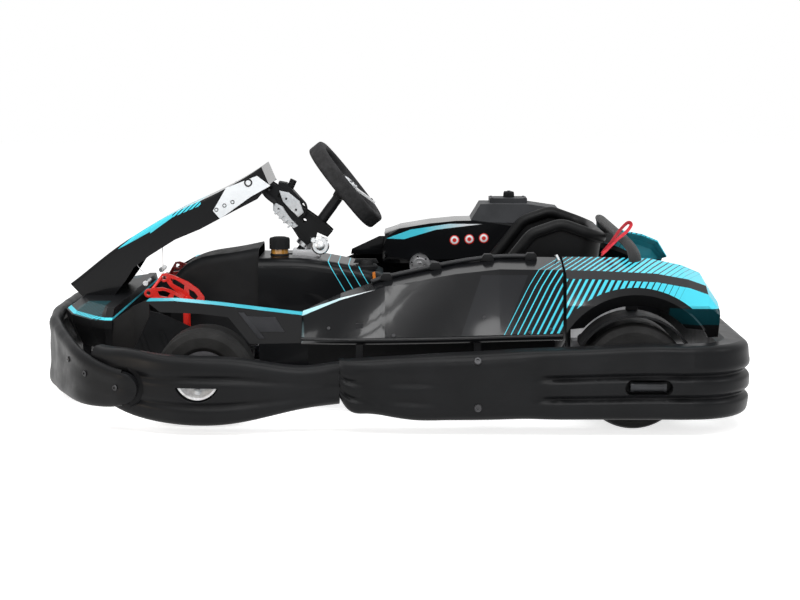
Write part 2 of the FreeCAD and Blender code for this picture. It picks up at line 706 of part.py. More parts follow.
def rearGuard():
    """Rear half of one side of the ring, from the neck round the corner to the middle."""
    wide, back = float(halfWide), -float(noseX)
    corner = float(k.rearCorner)
    thick, low, high = float(k.guardThick), float(k.guardLow), float(k.guardHigh)
    neck = float(neckX)
    turnX = back + corner
    deep = float(k.grooveDeep)
    full = (90, low + 2, high + 8, thick, deep)
    side = [(neck, wide - 22, 90, k.neckLow + 18, k.neckHigh + 7, thick - 20, 0),
            (neck - 70, wide - 14, 90, low + 14, high - 30, thick - 10, 1),
            (aft - 80, wide - 8, 90, low - 2, high - 22, thick - 5, 6),
            (aft - 150, wide - 7, 90, low - 2, high - 18, thick - 2, 1),
            (aft - 233, wide - 6, 90, low - 1, high - 14, thick, 0),
            (aft - 366, wide - 2, 90, low + 3, high - 5, thick, 1),
            (aft - 420, wide - 1, 90, low + 2, high - 3, thick, deep - 2),
            (aft - 500, wide, 90, low + 2, high, thick, deep),
            (turnX + 120, wide) + full, (turnX, wide) + full]
    flank = sweepStations(side, guardSection)
    foot = Vec(turnX, wide, 0)
    face = Part.Face(guardSection(lambda n, z: foot + Vec(0, n, z), *full[1:]))
    centre = Vec(turnX, wide - corner, 0)
    bend = face.revolve(centre, Vec(0, 0, 1), 90)
    face.rotate(centre, Vec(0, 0, 1), 90)
    tail = face.extrude(Vec(0, corner - wide, 0))
    return feature("RearGuardLeft", flank.fuse([bend, tail]).cut(tailPocket()))


def frontPod():
    """Front half of one side of the ring, outside the steered wheel."""
    wide = float(halfWide)
    neck = float(neckX)
    stations = [(neck, wide - 20, 90, k.neckLow, k.neckHigh, 70, 0, 0),
                (neck + 75, wide - 22, 90, k.neckLow - 10, k.neckHigh - 10, 66, 2, 0.04),
                (fore + 300, wide - 10, 90, 50, 188, 66, 6, 0.08),
                (fore + 400, wide - 2, 90, 31, 202, 70, 9, 0.1),
                (fore + 500, wide - 4, 88, 27, 204, 72, 9, 0.1),
                (fore + 600, wide - 28, 80, 34, 209, 60, 7, 0.06),
                (nose + 690, wide - 70, 68, 52, 216, 60, 3, 0),
                (nose + 770, wide - 122, 56, 92, 217, 60, 0, 0)]
    pod = sweepStations(stations, guardSection).cut([headPocket(), bandRecess()])
    return feature("FrontPodLeft", without(pod, "front_bumper"))


def bandRecess():
    """Room that the pod leaves round the end of the front band."""
    sink = float(k.bandSink)
    low, high = float(k.bandLow) + 18 - sink, float(k.bandHigh) - 100 + sink
    turn = (high - low) / 2
    centre = float(bandEndX) - sink + turn

    def section(at, low, high):
        return Part.Wire(lines([at(-float(k.bandThick), low), at(60, low), at(60, high),
                                at(-float(k.bandThick), high), at(-float(k.bandThick), low)]))

    slot = sweepStations([(centre, bandEndY - 12, 80, low, high),
                          (nose + 710, wider + 642, 70, low - 12, high + 10),
                          (nose + 780, wider + 592, 52, low - 18, high + 30)], section)
    tip = bar((centre, bandEndY - 30, low + turn), (centre, bandEndY + 60, low + turn), 2 * turn)
    return slot.fuse(tip)


def bandSection(at, low, high, thick):
    """Upright band with a fat rounded bead along its top edge."""
    web = high - 44 - low
    outer = [(-thick, low + 6), (-thick + 8, low), (-6, low + 3), (0, low + 0.4 * web),
             (0, low + 0.75 * web), (-1, high - 40), (1, high - 24), (-2, high - 8),
             (-14, high), (-28, high - 6), (-34, high - 20), (-29, high - 34), (-thick, high - 44)]
    return Part.Wire([spline([at(*p) for p in outer])]
                     + lines([at(-thick, high - 44), at(-thick, low + 6)]))


def frontBumper():
    """The band round the front, tallest across the nose and low at its two ends."""
    thick = float(k.bandThick)
    low, high = float(k.bandLow), float(k.bandHigh)
    half = [(bandEndX, bandEndY, 86, low + 18, high - 100, thick),
            (nose + 710, wider + 642, 70, low + 6, high - 90, thick),
            (nose + 780, wider + 592, 52, low, high - 70, thick),
            (nose + 840, wider + 512, 40, low, high - 46, thick),
            (nose + 893, wider + 400, 28, low, high - 24, thick),
            (nose + 935, wider + 290, 16, low, high - 8, thick),
            (nose + 952, wider + 160, 4, low, high, thick)]
    far = [(x, -y, -a, *rest) for x, y, a, *rest in reversed(half)]
    whole = sweepStations(half + [(noseX, 0, 0, low, high, thick)] + far, bandSection)
    turn = (high - 100 - low - 18) / 2
    centre = float(bandEndX) + turn
    tip = (low + 18 + high - 100) / 2
    spare = block(centre - 80, centre, bandEndY - 90, bandEndY + 40, low - 20, high)
    spare = spare.cut(bar((centre, bandEndY - 91, tip), (centre, bandEndY + 41, tip), 2 * turn))
    return feature("FrontBumper", whole.cut(both(spare)))


def headLamps():
    """Dished reflectors behind the half-round windows of the front pods."""
    x, z = float(headX), float(k.headZ)
    back = float(headY)
    bowl = bar((x, back, z), (x, back + 28, z), k.headDia - 8)
    dish = Part.makeSphere(80, Vec(x, back + 90, z))
    return feature("HeadLamps", Part.makeCompound(both(bowl.cut(dish).common(headWindow(2)))))


def headWindow(inset):
    """Space under the flat brow of a headlamp window."""
    return block(headX - 80, headX + 80, headY, halfWide + 40, 40, k.headBrow - inset)


def headPocket():
    return bar((headX, headY, k.headZ), (headX, halfWide + 40, k.headZ),
               k.headDia).common(headWindow(0))


def tailLamps():
    """Round bar lamps lying in the slots of the rear guard."""
    y, z = float(halfWide) - 24, float(k.tailZ)
    lamp = bar((tailX - 38, y, z), (tailX + 38, y, z), 24)
    ends = [bar((tailX + a, y, z), (tailX + b, y, z), 28) for a, b in ((-46, -38), (38, 46))]
    stand = block(tailX - 30, tailX + 30, halfWide - k.tailDeep, y, z - 5, z + 5)
    return feature("TailLamps", Part.makeCompound(both(lamp.fuse(ends + [stand]))))


def tailPocket():
    """The stadium slot of a tail lamp."""
    reach = (float(k.tailLong) - float(k.tailHigh)) / 2
    start, end = halfWide - k.tailDeep, halfWide + 40
    low, high = k.tailZ - k.tailHigh / 2, k.tailZ + k.tailHigh / 2
    slot = block(tailX - reach, tailX + reach, start, end, low, high)
    return slot.fuse([bar((tailX + a, start, k.tailZ), (tailX + a, end, k.tailZ), k.tailHigh)
                      for a in (-reach, reach)])


# bodywork
def noseCone():
    """Low nose shell behind the bumper band, under the front arch."""
    half = [(905, 0), (905, 190), (868, wider + 300), (800, wider + 395), (758, wider + 428),
            (738, wider + 430), (738, 0)]
    ring = half + [(x, -y) for x, y in reversed(half[1:-1])]

    def layer(grow, z):
        places = []
        for x, y in ring:
            out = math.copysign(1, y) * grow if y else 0
            places.append((nose + x + (grow if x > 780 else 0), y + out, z))
        return polygon(places)

    lower = Part.makeLoft([layer(-22, 176), layer(0, 240), layer(2, 262)], True, True)
    upper = Part.makeLoft([layer(2, 262), layer(-40, 292)], True, True)
    return feature("NoseCone", lower.fuse(upper).removeSplitter())


def frontArch():
    """Channel-shaped panel that rises from the nose and leans back over the pedals."""
    top = [(908, 324), (870, 353), (829, 386), (755, 441), (681, 487), (608, 527), (520, 567),
           (432, 612), (359, 658)]
    under = [(337, 606), (371, 566), (435, 533), (535, 480), (607, 450), (679, 405),
             (726, 370), (752, 330), (775, 300), (790, 285), (872, 285)]
    half = float(k.archHalf)
    skin = float(k.skin)

    def profile(curve, rest, y):
        edges = [spline([(x, y, z) for x, z in curve])]
        return Part.Face(Part.Wire(edges + lines([(x, y, z) for x, z in curve[-1:] + rest + curve[:1]])))

    outer = profile(top, under, -half).extrude(Vec(0, 2 * half, 0))
    long = [edge for edge in outer.Edges if edge.Length > 500 and edge.BoundBox.YLength < 1]
    outer = outer.makeFillet(float(k.archRound), long)
    core = [(x - skin, z - skin - 2) for x, z in top[:-1]] + [(364, 650)]
    low = [(342, 590), (342, 500), (700, 300), (880, 240)]
    inner = profile(core, low, skin - half).extrude(Vec(0, 2 * half - 2 * skin, 0))
    channel = outer.cut(inner).translated(Vec(nose, 0, 0))
    return feature("FrontArch", without(channel, "nose_cone"))


def archPlates():
    """White cheek plates each side of the arch's rear end."""
    points = [(497, 533), (459, 598), (371, 632), (334, 604), (391, 572), (477, 510)]
    half = float(k.archHalf)
    plate = padShape([(nose + x, half, z) for x, z in points], Vec(0, 5, 0))
    return feature("ArchPlates", Part.makeCompound(both(plate)))


def console():
    """Hollow tunnel between the pedals, open below for the steering rods."""
    half = float(k.consoleHalf)
    stations = [(371, 424, half), (427, 413, half - 6), (500, 402, half - 12), (556, 387, half - 20),
                (600, 358, half - 28), (628, 318, half - 34)]
    outer = Part.makeLoft([shoulders(x, y, y + 14, 150, z, 26) for x, z, y in stations], True, False)
    inner = Part.makeLoft([shoulders(x, y - 4, y + 10, 140, z - 4, 24)
                           for x, z, y in [(370, 424, half)] + stations[1:-1]
                           + [(624, 322, half - 33)]], True, False)
    foot = block(620, 628, -50, 50, trayZ + k.trayThick, 200)
    return feature("CentreConsole", outer.cut(inner).fuse(foot).translated(Vec(fore, 0, 0)))


def shoulders(x, top, foot, low, high, radius):
    """Outline across the kart: upright sides, a flat top and rounded shoulders."""
    turn = radius * (1 - math.sqrt(0.5))
    edges = []
    for side in (1, -1):
        edges.append(Part.LineSegment(Vec(x, side * foot, low), Vec(x, side * top, high - radius)))
        edges.append(Part.Arc(Vec(x, side * top, high - radius), Vec(x, side * (top - turn), high - turn),
                              Vec(x, side * (top - radius), high)))
    edges.append(Part.LineSegment(Vec(x, top - radius, high), Vec(x, radius - top, high)))
    edges.append(Part.LineSegment(Vec(x, foot, low), Vec(x, -foot, low)))
    return Part.Wire(Part.__sortEdges__([edge.toShape() for edge in edges]))


def fuelTank():
    """Moulded tank between the driver's legs, with a bore for the steering column."""
    half = float(k.tankHalf)
    low = float(trayZ + k.trayThick)
    stations = [(18, half - 26, 346), (60, half - 18, 362), (114, half - 11, 375),
                (201, half - 2, 390), (290, half + 1, 396), (371, half, 396)]
    rear, front = stations[0][0] + aft, stations[-1][0] + fore
    stretch = (front - rear) / (stations[-1][0] - stations[0][0])
    outer = Part.makeLoft([shoulders(rear + (x - stations[0][0]) * stretch, y, y + 6, low, z, 32)
                           for x, y, z in stations], True, False)
    scoop = bar((fore + 250, half + 62, 300), (fore + 150, half + 44, 240), 116)
    bore = bar(onColumn(-420), onColumn(-60), 46)
    return feature("FuelTank", outer.cut(scoop).cut(bore))


def fillerCap():
    x, y = fore + 314, 60
    neck = bar((x, y, 380), (x, y, 420), 50)
    lid = bar((x, y, 420), (x, y, 448), 54)
    return feature("FillerCap", without(neck.fuse(lid), "fuel_tank"))


def pedals():
    """Two pedals, each a pair of cut-out side plates joined by a foot bar."""
    nearPlate = [(686, 312), (662, 320), (636, 322), (611, 315), (583, 301), (566, 284), (567, 274),
                 (600, 276), (640, 284), (672, 293)]
    farPlate = [(645, 355), (630, 357), (606, 349), (568, 332), (539, 311), (523, 289), (524, 270),
                (546, 266), (569, 276), (597, 298), (622, 321)]
    nearSlots = [[(650, 311), (631, 313), (613, 306), (623, 294), (644, 298)],
                 [(603, 301), (584, 291), (584, 285), (608, 287)]]
    farSlots = [[(619, 342), (603, 338), (579, 323), (581, 309), (611, 326)],
                [(567, 312), (552, 304), (541, 290), (549, 279), (565, 292)]]
    thick = float(k.pedalPlate)
    plates = []
    for points, slots, eye, y in ((nearPlate, nearSlots, (675, 306), k.pedalY + k.pedalWide / 2),
                                  (farPlate, farSlots, (636, 344), k.pedalY - k.pedalWide / 2)):
        y = float(y) - thick / 2
        plate = padShape([(x, y, z) for x, z in points], Vec(0, thick, 0))
        x, z = eye
        plate = plate.fuse(bar((x, y - 2, z), (x, y + thick + 2, z), k.pedalEye))
        for slot in slots:
            plate = plate.cut(padShape([(x, y - 1, z) for x, z in slot], Vec(0, thick + 2, 0)))
        plates.append(plate.cut(bar((x, y - 3, z), (x, y + thick + 3, z), k.pedalHole)))
    near, far = float(k.pedalY + k.pedalWide / 2), float(k.pedalY - k.pedalWide / 2)
    rods = [bar((666, near - 2, 314), (645, far + 2, 345), 9),
            bar((574, near - 2, 280), (574, far + 2, 286), 10)]
    floor = float(trayZ + k.trayThick)
    stems = [block(558, 584, far - 13, far + 13, floor, floor + 8),
             block(564, 578, far - thick / 2, far + thick / 2, floor, 282),
             block(564, 578, near - thick / 2, near + thick / 2, k.railZ, 282)]
    whole = plates[0].fuse([plates[1]] + stems + rods)
    pair = Part.makeCompound(both(whole.translated(Vec(fore, 0, 0))))
    return feature("Pedals", without(pair, "side_rail_left", "side_rail_right"))


def footwellPanels():
    """Low side panels between the footwell and the front wheels, on the side rails."""
    outline = [(738, 84), (738, 236), (700, 262), (640, 250), (560, 214), (530, 196), (530, 84)]
    y = float(k.railFrontY)
    panel = padShape([(x, y + 2, z) for x, z in outline], Vec(0, 4, 0))
    for x in (545, 605, 665):
        rib = [(x - 6, y + 6, 96), (x + 6, y + 6, 96), (x + 40, y + 6, 200), (x + 28, y + 6, 200)]
        panel = panel.fuse(padShape(rib, Vec(0, 4, 0)))
    foot = block(530, 700, y - 4, y + 6, k.railZ + tubeR, 90)
    whole = panel.fuse(foot).translated(Vec(fore, 0, 0))
    return feature("FootwellPanels", Part.makeCompound(both(whole)))


def noseShrouds():
    """Side panels from the nose back to the front fins, clear of the steered wheels."""
    def ring(y, low, high):
        return [(y, low), (y, high), (y + 8, high), (y + 8, low)]
    side = panel([(nose + 738, ring(wider + 418, 182, 262)),
                  (fore + 676, ring(wider + 448, 192, 306)),
                  (fore + 628, ring(wider + 482, 286, 332))], True)
    return feature("NoseShrouds", Part.makeCompound(both(side)))


def frontFin():
    """Fairing over the front wheel: sloping top strip, side skin and rear strut."""
    y = float(fairingY)
    top = [(628, 332), (555, 333), (437, 322), (332, 309), (221, 296)]
    low = [(221, 222), (357, 219), (414, 290), (487, 299), (592, 303)]
    skin = padShape([(x, y + 14, z) for x, z in top + low], Vec(0, 6, 0))
    deck = padShape([(x, y - 40, z) for x, z in top] + [(x, y - 40, z - 6) for x, z in reversed(top)],
                    Vec(0, 55, 0))
    return feature("FrontFinLeft", skin.fuse(deck).translated(Vec(fore, 0, 0)))


def sideFairing():
    """Outer skin and sloping deck beside the driver."""
    y = float(fairingY)
    t = float(k.skin) + 1
    deck = y - float(k.deckWide)

    def ring(low, high, inner, rise):
        return [(y + 40, low), (y, high), (inner, high + rise), (inner, high + rise - t),
                (y - t, high - t), (y + 40 - t, low)]

    stations = [(221, ring(225, 291, deck + 80, 8)), (121, ring(229, 333, deck + 60, 10)),
                (3, ring(231, 368, deck + 40, 14)), (-181, ring(234, 402, deck + 10, 18)),
                (-298, ring(240, 415, deck, 20)), (-463, ring(253, 413, deck, 20))]
    front, rear = stations[0][0] + fore, stations[-1][0] + aft
    stretch = (front - rear) / (stations[0][0] - stations[-1][0])
    moved = [(front + (x - stations[0][0]) * stretch, points) for x, points in stations]
    return feature("SideFairingLeft", panel(moved, True))


def rearFairing():
    """Tail fairing with a flared round arch over the rear wheel and a tucked lower lip."""
    y = float(fairingY)
    t = float(k.skin) + 1
    deck = y - float(k.deckWide)

    def ring(low, high, inner, rise, tuck=0):
        crease = max(low + 10, min(high - 30, 325))
        return [(y + 50 - tuck, low), (y + 48, crease), (y + 40, high - 18), (y, high),
                (inner, high + rise), (inner, high + rise - t), (y - t, high - t),
                (y + 40 - t, high - 18 - t), (y + 48 - t, crease), (y + 50 - t - tuck, low)]

    stations = [(-470, ring(255, 413, deck, 21)), (-560, ring(255, 411, deck, 23)),
                (-706, ring(250, 404, deck, 26, 10)), (-790, ring(242, 389, deck + 6, 24, 26)),
                (-838, ring(238, 372, deck + 10, 21, 30)), (-869, ring(240, 330, deck + 20, 14, 30))]
    shell = panel([(x + aft, points) for x, points in stations], True)
    middle = (rearAxleX - 5, rearZ)
    reach = float(k.archRadius)
    arch = bar((middle[0], y - 20, middle[1]), (middle[0], y + 90, middle[1]), reach * 2)
    flare = [Part.makeCone(reach - 28 - wall, reach + 4 - wall, 26,
                           Vec(float(middle[0]), y + 16, float(middle[1])), Vec(0, 1, 0))
             for wall in (0, t)]
    keep = block(aft - 862, aft - 475, y, y + 60, 262, 400)
    return feature("RearFairingLeft", shell.cut(arch).fuse(flare[0].cut(flare[1]).common(keep)))


def tailAir():
    """The space above the underside of the tail deck."""
    y, t = float(fairingY), float(k.skin) + 1
    deck = y - float(k.deckWide)
    stations = [(-470, 413, deck, 21), (-560, 411, deck, 23), (-706, 404, deck, 26),
                (-838, 372, deck + 10, 21)]
    return panel([(x + aft, [(y, high - t), (inner, high + rise - t), (inner, 600), (y, 600)])
                  for x, high, inner, rise in stations], True)


def mudguards():
    """Strips that hug the rear tyres inside the fairing arches."""
    inner = float(rearZ + k.guardGap)
    outer = inner + float(k.mudThick)
    x = float(rearAxleX)
    edge = float(rearTyreY + k.rearTyreWide / 2) + 6
    ring = bar((x, edge - 110, rearZ), (x, edge, rearZ), 2 * outer)
    ring = ring.cut(bar((x, edge - 111, rearZ), (x, edge + 1, rearZ), 2 * inner))
    keep = block(x - 140, x + 140, edge - 120, edge + 10, rearZ + 78, rearZ + 200)
    strap = block(x - 15, x + 15, edge - 106, edge - 90, rearZ + inner + 2, 428)
    shape = Part.makeCompound(both(ring.common(keep).fuse(strap))).cut(both(tailAir()))
    return feature("Mudguards", without(shape, "rear_fairing_left", "rear_fairing_right"))


def fairingMounts():
    """Brackets on the guard bars for the side fairings and posts for the tail fairings."""
    y = float(fairingY)
    solids = []
    for x in mountX:
        solids += both(block(x - 9, x + 9, y + 21, y + 29, k.railZ + 20, 275))
    x = rearAxleX + 160
    post = tube([(x, railRearY, 100), (x, y - 94, 200), (x, y - 94, 440)], 14, 60)
    solids += both(post.cut(tailAir()))
    return feature("FairingMounts", without(
        Part.makeCompound(solids), "side_rail_left", "side_rail_right", "guard_bars",
        "side_fairing_left", "side_fairing_right", "rear_fairing_left", "rear_fairing_right"))


# seat and hoop
def seat():
    """Bucket seat: high side wings, dropped front lip, thin wall and a fat rolled rim."""
    half = float(k.seatHalf)
    side = [(-20, 0), (-20, 190), (-150, 227), (-240, 316), (-300, 353), (-350, 406), (-398, 461),
            (-441, 487), (-484, 492), (-530, 486), (-582, 466), (-640, 446), (-640, 0)]
    keep = padShape([(x + aft, -400, z) for x, z in side], Vec(0, 800, 0))
    shell = seatHull(0).cut(seatHull(float(k.seatWall))).common(keep)
    edge = half - float(k.seatWall) / 2
    rim = [(-598, 40, 460), (-598, edge, 462), (-484, edge, 503), (-402, edge, 475),
           (-312, edge - 3, 362), (-240, edge - 4, 318), (-165, edge - 7, 240),
           (-64, edge - 9, 205), (-62, 0, 201)]
    roll = tube(rim + [(x, -y, z) for x, y, z in rim[-2::-1]], k.rimRoll, 56)
    back = bar(rim[0], (-598, -40, 460), k.rimRoll)
    rolled = roll.fuse(back).translated(Vec(aft, 0, 0))
    return feature("Seat", shell.fuse(rolled))


def seatHull(inset):
    """The seat's outer form, or its hollow when it is drawn in by the wall."""
    half = float(k.seatHalf)
    lift = 2 if inset else 0
    levels = [(-430, -150, half - 70, 56 + inset), (-480, -90, half - 25, 110 + lift),
              (-540, -50, half - 5, 240), (-590, -30, half, 380), (-610, -20, half, 520 + lift)]
    return Part.makeLoft([roundRect(x0 + inset + aft, x1 - inset + aft, inset - y, y - inset, 60, z)
                          for x0, x1, y, z in levels], True, True)


def roundRect(x0, x1, y0, y1, r, z):
    """A rounded rectangle in a level plane."""
    s = r * (1 - math.sqrt(0.5))
    corners = [((x0, y0 + r), (x0 + s, y0 + s), (x0 + r, y0)),
               ((x1 - r, y0), (x1 - s, y0 + s), (x1, y0 + r)),
               ((x1, y1 - r), (x1 - s, y1 - s), (x1 - r, y1)),
               ((x0 + r, y1), (x0 + s, y1 - s), (x0, y1 - r))]
    edges = []
    for i, (a, m, b) in enumerate(corners):
        edges.append(Part.Arc(Vec(*a, z), Vec(*m, z), Vec(*b, z)).toShape())
        nxt = corners[(i + 1) % 4][0]
        edges.append(Part.LineSegment(Vec(*b, z), Vec(*nxt, z)).toShape())
    return Part.Wire(edges)


def seatStays():
    """Struts that carry the seat from the side rails."""
    solids = []
    for x in (aft - 180, aft - 400):
        solids += both(bar((x, railMidY + 15, k.railZ + 4), (x, k.seatHalf - 70, k.railZ + 18), 18))
    return feature("SeatStays", without(Part.makeCompound(solids).cut(seatHull(0)),
                                        "side_rail_left", "side_rail_right"))


def rearHoop():
    """Padded hoop behind the seat, from one tail fairing over to the other."""
    x, y = float(rearAxleX), float(fairingY)
    path = route([(x - 17, y - 100, 400), (x - 17, y - 100, 430), (x - 6, y - 150, 464),
                  (x + 2, y - 215, 484), (x + 2, 0, 484)], 24)
    wide, thick = float(k.hoopWide) / 2, float(k.hoopThick) / 2
    ring = polygon([(x - 17 + a, y - 100 + b, 400) for a, b in
                    ((-wide, -thick), (wide, -thick), (wide, thick), (-wide, thick))])
    sweep = Part.BRepOffsetAPI.MakePipeShell(path)
    sweep.add(ring)
    sweep.setTransitionMode(0)
    sweep.build()
    sweep.makeSolid()
    half = sweep.shape()
    foot = block(x - 53, x + 21, y - 132, y - 68, 380, 440)
    deck = tailAir().translated(Vec(0, 0, float(k.skin) + 1))
    air = block(x - 300, x + 300, 132 - y, y - 132, 380, 700).fuse(both(deck))
    return feature("RearHoop", half.fuse(both(foot) + [both(half)[1]]).common(air))


# engine side
def engineBlock():
    return box("EngineBlock", engineX - k.engineLong, -engineSide - engineWide, k.engineZ,
               k.engineLong, engineWide, k.engineHigh)


def engineCover():
    """Faceted cover over the engine, beside the driver's right arm."""
    inner, outer = -float(engineSide), 126 - float(fairingY)

    def ring(y0, y1, low, high):
        return [(y0, low), (y0 + 6, high - 20), (y0 - 14, high), (y1 + 20, high), (y1, high - 20),
                (y1, low)]

    stations = [(23, ring(inner - 10, outer + 2, 340, 372)), (-30, ring(inner - 4, outer + 2, 340, 405)),
                (-153, ring(inner, outer, 342, 442)), (-276, ring(inner, outer, 340, 464)),
                (-420, ring(inner, outer, 340, 464))]
    cover = panel([(x + aft, points) for x, points in stations], True)
    return feature("EngineCover", without(cover, "engine_block", "engine_end_cap"))


def engineMount():
    """Plate and blocks that seat the engine on the right side rail."""
    low = float(k.engineZ)
    y = -float(railRearY)
    feet = [block(x - 30, x + 30, y - 20, y + 40, k.railZ, low)
            for x in (engineX - 60, engineX - 280)]
    return feature("EngineMount", without(Part.makeCompound(feet), "side_rail_right",
                                          "cross_tubes"))


def airBox():
    """Air box on the engine cover, with a lid and a knob."""
    inner, outer = -float(engineSide) - 6, 116 - float(fairingY)
    body = [(-245, [(inner - 4, 464), (inner - 4, 470), (outer + 4, 470), (outer + 4, 464)])]
    for x, high in ((-275, 520), (-420, 520), (-513, 506)):
        body.append((x, [(inner, 464), (inner - 10, high), (outer + 8, high), (outer, 464)]))
    lower = panel([(x + aft, points) for x, points in body], True)
    lid = block(aft - 420, aft - 305, outer + 12, inner - 54, 518, 534)
    mid = (outer + 12 + inner - 54) / 2 - 4
    knob = bar((aft - 364, mid, 530), (aft - 364, mid, 552), 26)
    return feature("AirBox", lower.fuse([lid, knob]))


def engineEndCap():
    """Finned round cap on the inner front corner of the engine."""
    x, z = float(engineX) - 30, 340
    y = -float(engineSide)
    drum = bar((x, y, z), (x, y + 34, z), 62)
    step = bar((x, y + 34, z), (x, y + 42, z), 40)
    nut = bar((x, y + 42, z), (x, y + 52, z), 18)
    return feature("EngineEndCap", drum.fuse([step, nut]))


# build
rail = label(sideRail(), "side_rail_left")
railRight = label(mirror(rail, "SideRailRight"), "side_rail_right")
doc.recompute()
label(crossTubes(), "cross_tubes")
label(frontBumper(), "front_bumper")
guardLeft = label(rearGuard(), "rear_guard_left")
label(mirror(guardLeft, "RearGuardRight"), "rear_guard_right")
podLeft = label(frontPod(), "front_pod_left")
label(mirror(podLeft, "FrontPodRight"), "front_pod_right")
label(headLamps(), "head_lamps")
label(tailLamps(), "tail_lamps")
doc.recompute()
label(guardBars(), "guard_bars")
label(floorTray(), "floor_tray")
label(kingPinYokes(), "king_pin_yokes")

knuckleLeft = label(knuckle(), "knuckle_left")
label(mirror(knuckleLeft, "KnuckleRight"), "knuckle_right")
rodLeft = label(tieRod(), "tie_rod_left")
label(mirror(rodLeft, "TieRodRight"), "tie_rod_right")

wheels = [("front", frontTyreY, k.frontTyreDia, k.frontTyreWide, frontAxleX, frontZ,
           k.stubDia / 2 + k.runFit),
          ("rear", rearTyreY, k.rearTyreDia, k.rearTyreWide, rearAxleX, rearZ,
           k.axleDia / 2)]
for end, y, dia, wide, x, z, bore in wheels:
    tyre = label(lift(tyreBody(end.title() + "TyreLeft", y, dia, wide, x), z), end + "_tyre_left")
    rim = label(lift(rimBody(end.title() + "RimLeft", y, wide, x, bore), z), end + "_rim_left")
    doc.recompute()
    label(mirror(tyre, end.title() + "TyreRight"), end + "_tyre_right")
    label(mirror(rim, end.title() + "RimRight"), end + "_rim_right")

label(rearAxle(), "rear_axle")
label(bearingCarriers(), "bearing_carriers")
label(brakeCaliper(), "brake_caliper")

label(steeringColumn(), "steering_column")
label(steeringWheel(), "steering_wheel")

label(noseCone(), "nose_cone")
label(noseShrouds(), "nose_shrouds")
label(footwellPanels(), "footwell_panels")
label(frontArch(), "front_arch")
label(archPlates(), "arch_plates")
label(console(), "centre_console")
label(fuelTank(), "fuel_tank")
label(fillerCap(), "filler_cap")
label(columnBearings(), "column_bearings")
label(steeringArm(), "steering_arm")
label(pedals(), "pedals")
finLeft = label(frontFin(), "front_fin_left")
label(mirror(finLeft, "FrontFinRight"), "front_fin_right")
fairingLeft = label(sideFairing(), "side_fairing_left")
label(mirror(fairingLeft, "SideFairingRight"), "side_fairing_right")
tailLeft = label(rearFairing(), "rear_fairing_left")
label(mirror(tailLeft, "RearFairingRight"), "rear_fairing_right")
doc.recompute()
label(mudguards(), "mudguards")
label(fairingMounts(), "fairing_mounts")

label(seat(), "seat")
label(seatStays(), "seat_stays")
label(rearHoop(), "rear_hoop")
label(engineBlock(), "engine_block")
label(engineMount(), "engine_mount")
doc.recompute()
label(engineEndCap(), "engine_end_cap")
label(engineCover(), "engine_cover")
label(airBox(), "air_box")
doc.recompute()

os.makedirs("parts", exist_ok=True)
failed = [thing.Label for thing in doc.Objects
          if any(word in thing.State for word in ("Invalid", "Error"))]
if failed:
    raise RuntimeError("failed: " + ", ".join(failed))
for thing in nodes:
    shape = thing.Shape
    if shape.isNull() or not shape.isValid():
        raise RuntimeError("%s has no valid shape" % thing.Label)
for thing in nodes:
    thing.Shape.exportStep("parts/%s.step" % thing.Label)
    bounds = thing.Shape.BoundBox
    print("%-22s %d solid(s) %8.0f cm3  X %5.0f..%-5.0f Y %5.0f..%-5.0f Z %4.0f..%-4.0f" % (
        thing.Label, len(thing.Shape.Solids), thing.Shape.Volume / 1000, bounds.XMin,
        bounds.XMax, bounds.YMin, bounds.YMax, bounds.ZMin, bounds.ZMax))
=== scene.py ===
import bpy
import bmesh
import json
import math
from mathutils import Matrix, Vector


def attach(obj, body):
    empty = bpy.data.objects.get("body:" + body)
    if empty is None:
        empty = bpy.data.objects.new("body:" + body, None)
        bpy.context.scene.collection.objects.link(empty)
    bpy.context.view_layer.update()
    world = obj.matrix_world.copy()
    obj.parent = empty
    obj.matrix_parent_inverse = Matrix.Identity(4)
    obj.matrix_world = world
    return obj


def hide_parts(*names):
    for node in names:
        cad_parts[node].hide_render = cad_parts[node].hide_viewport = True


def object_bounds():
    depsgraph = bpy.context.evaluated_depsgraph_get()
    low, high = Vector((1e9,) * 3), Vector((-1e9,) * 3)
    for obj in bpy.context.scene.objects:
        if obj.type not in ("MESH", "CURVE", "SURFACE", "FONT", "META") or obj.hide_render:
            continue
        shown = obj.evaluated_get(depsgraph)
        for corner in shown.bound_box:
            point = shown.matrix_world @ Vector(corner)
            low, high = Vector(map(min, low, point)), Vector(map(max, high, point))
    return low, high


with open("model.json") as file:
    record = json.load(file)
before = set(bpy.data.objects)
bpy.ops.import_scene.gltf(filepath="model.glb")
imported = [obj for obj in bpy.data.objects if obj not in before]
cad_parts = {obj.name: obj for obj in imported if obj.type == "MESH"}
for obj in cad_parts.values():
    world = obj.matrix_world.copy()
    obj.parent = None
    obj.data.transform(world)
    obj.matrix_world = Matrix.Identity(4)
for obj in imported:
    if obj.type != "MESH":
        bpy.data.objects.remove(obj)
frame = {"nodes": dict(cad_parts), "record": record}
cadBox = [list(corner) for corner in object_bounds()]
nodes = frame["nodes"]
scene = bpy.context.scene
print("frame loaded:", len(nodes), "nodes")


def inScene(name, data):
    thing = bpy.data.objects.new(name, data)
    scene.collection.objects.link(thing)
    return thing


# the camera stands higher than the steering wheel, well off the left side
cameraSetup = {"place": (-0.0751, 5.07, 0.9731), "forward": (0.008405, -0.990228, -0.139203),
               "up": (0.001182, -0.139198, 0.990264), "lens": 78.75, "sensor": 36, "farthest": 60}


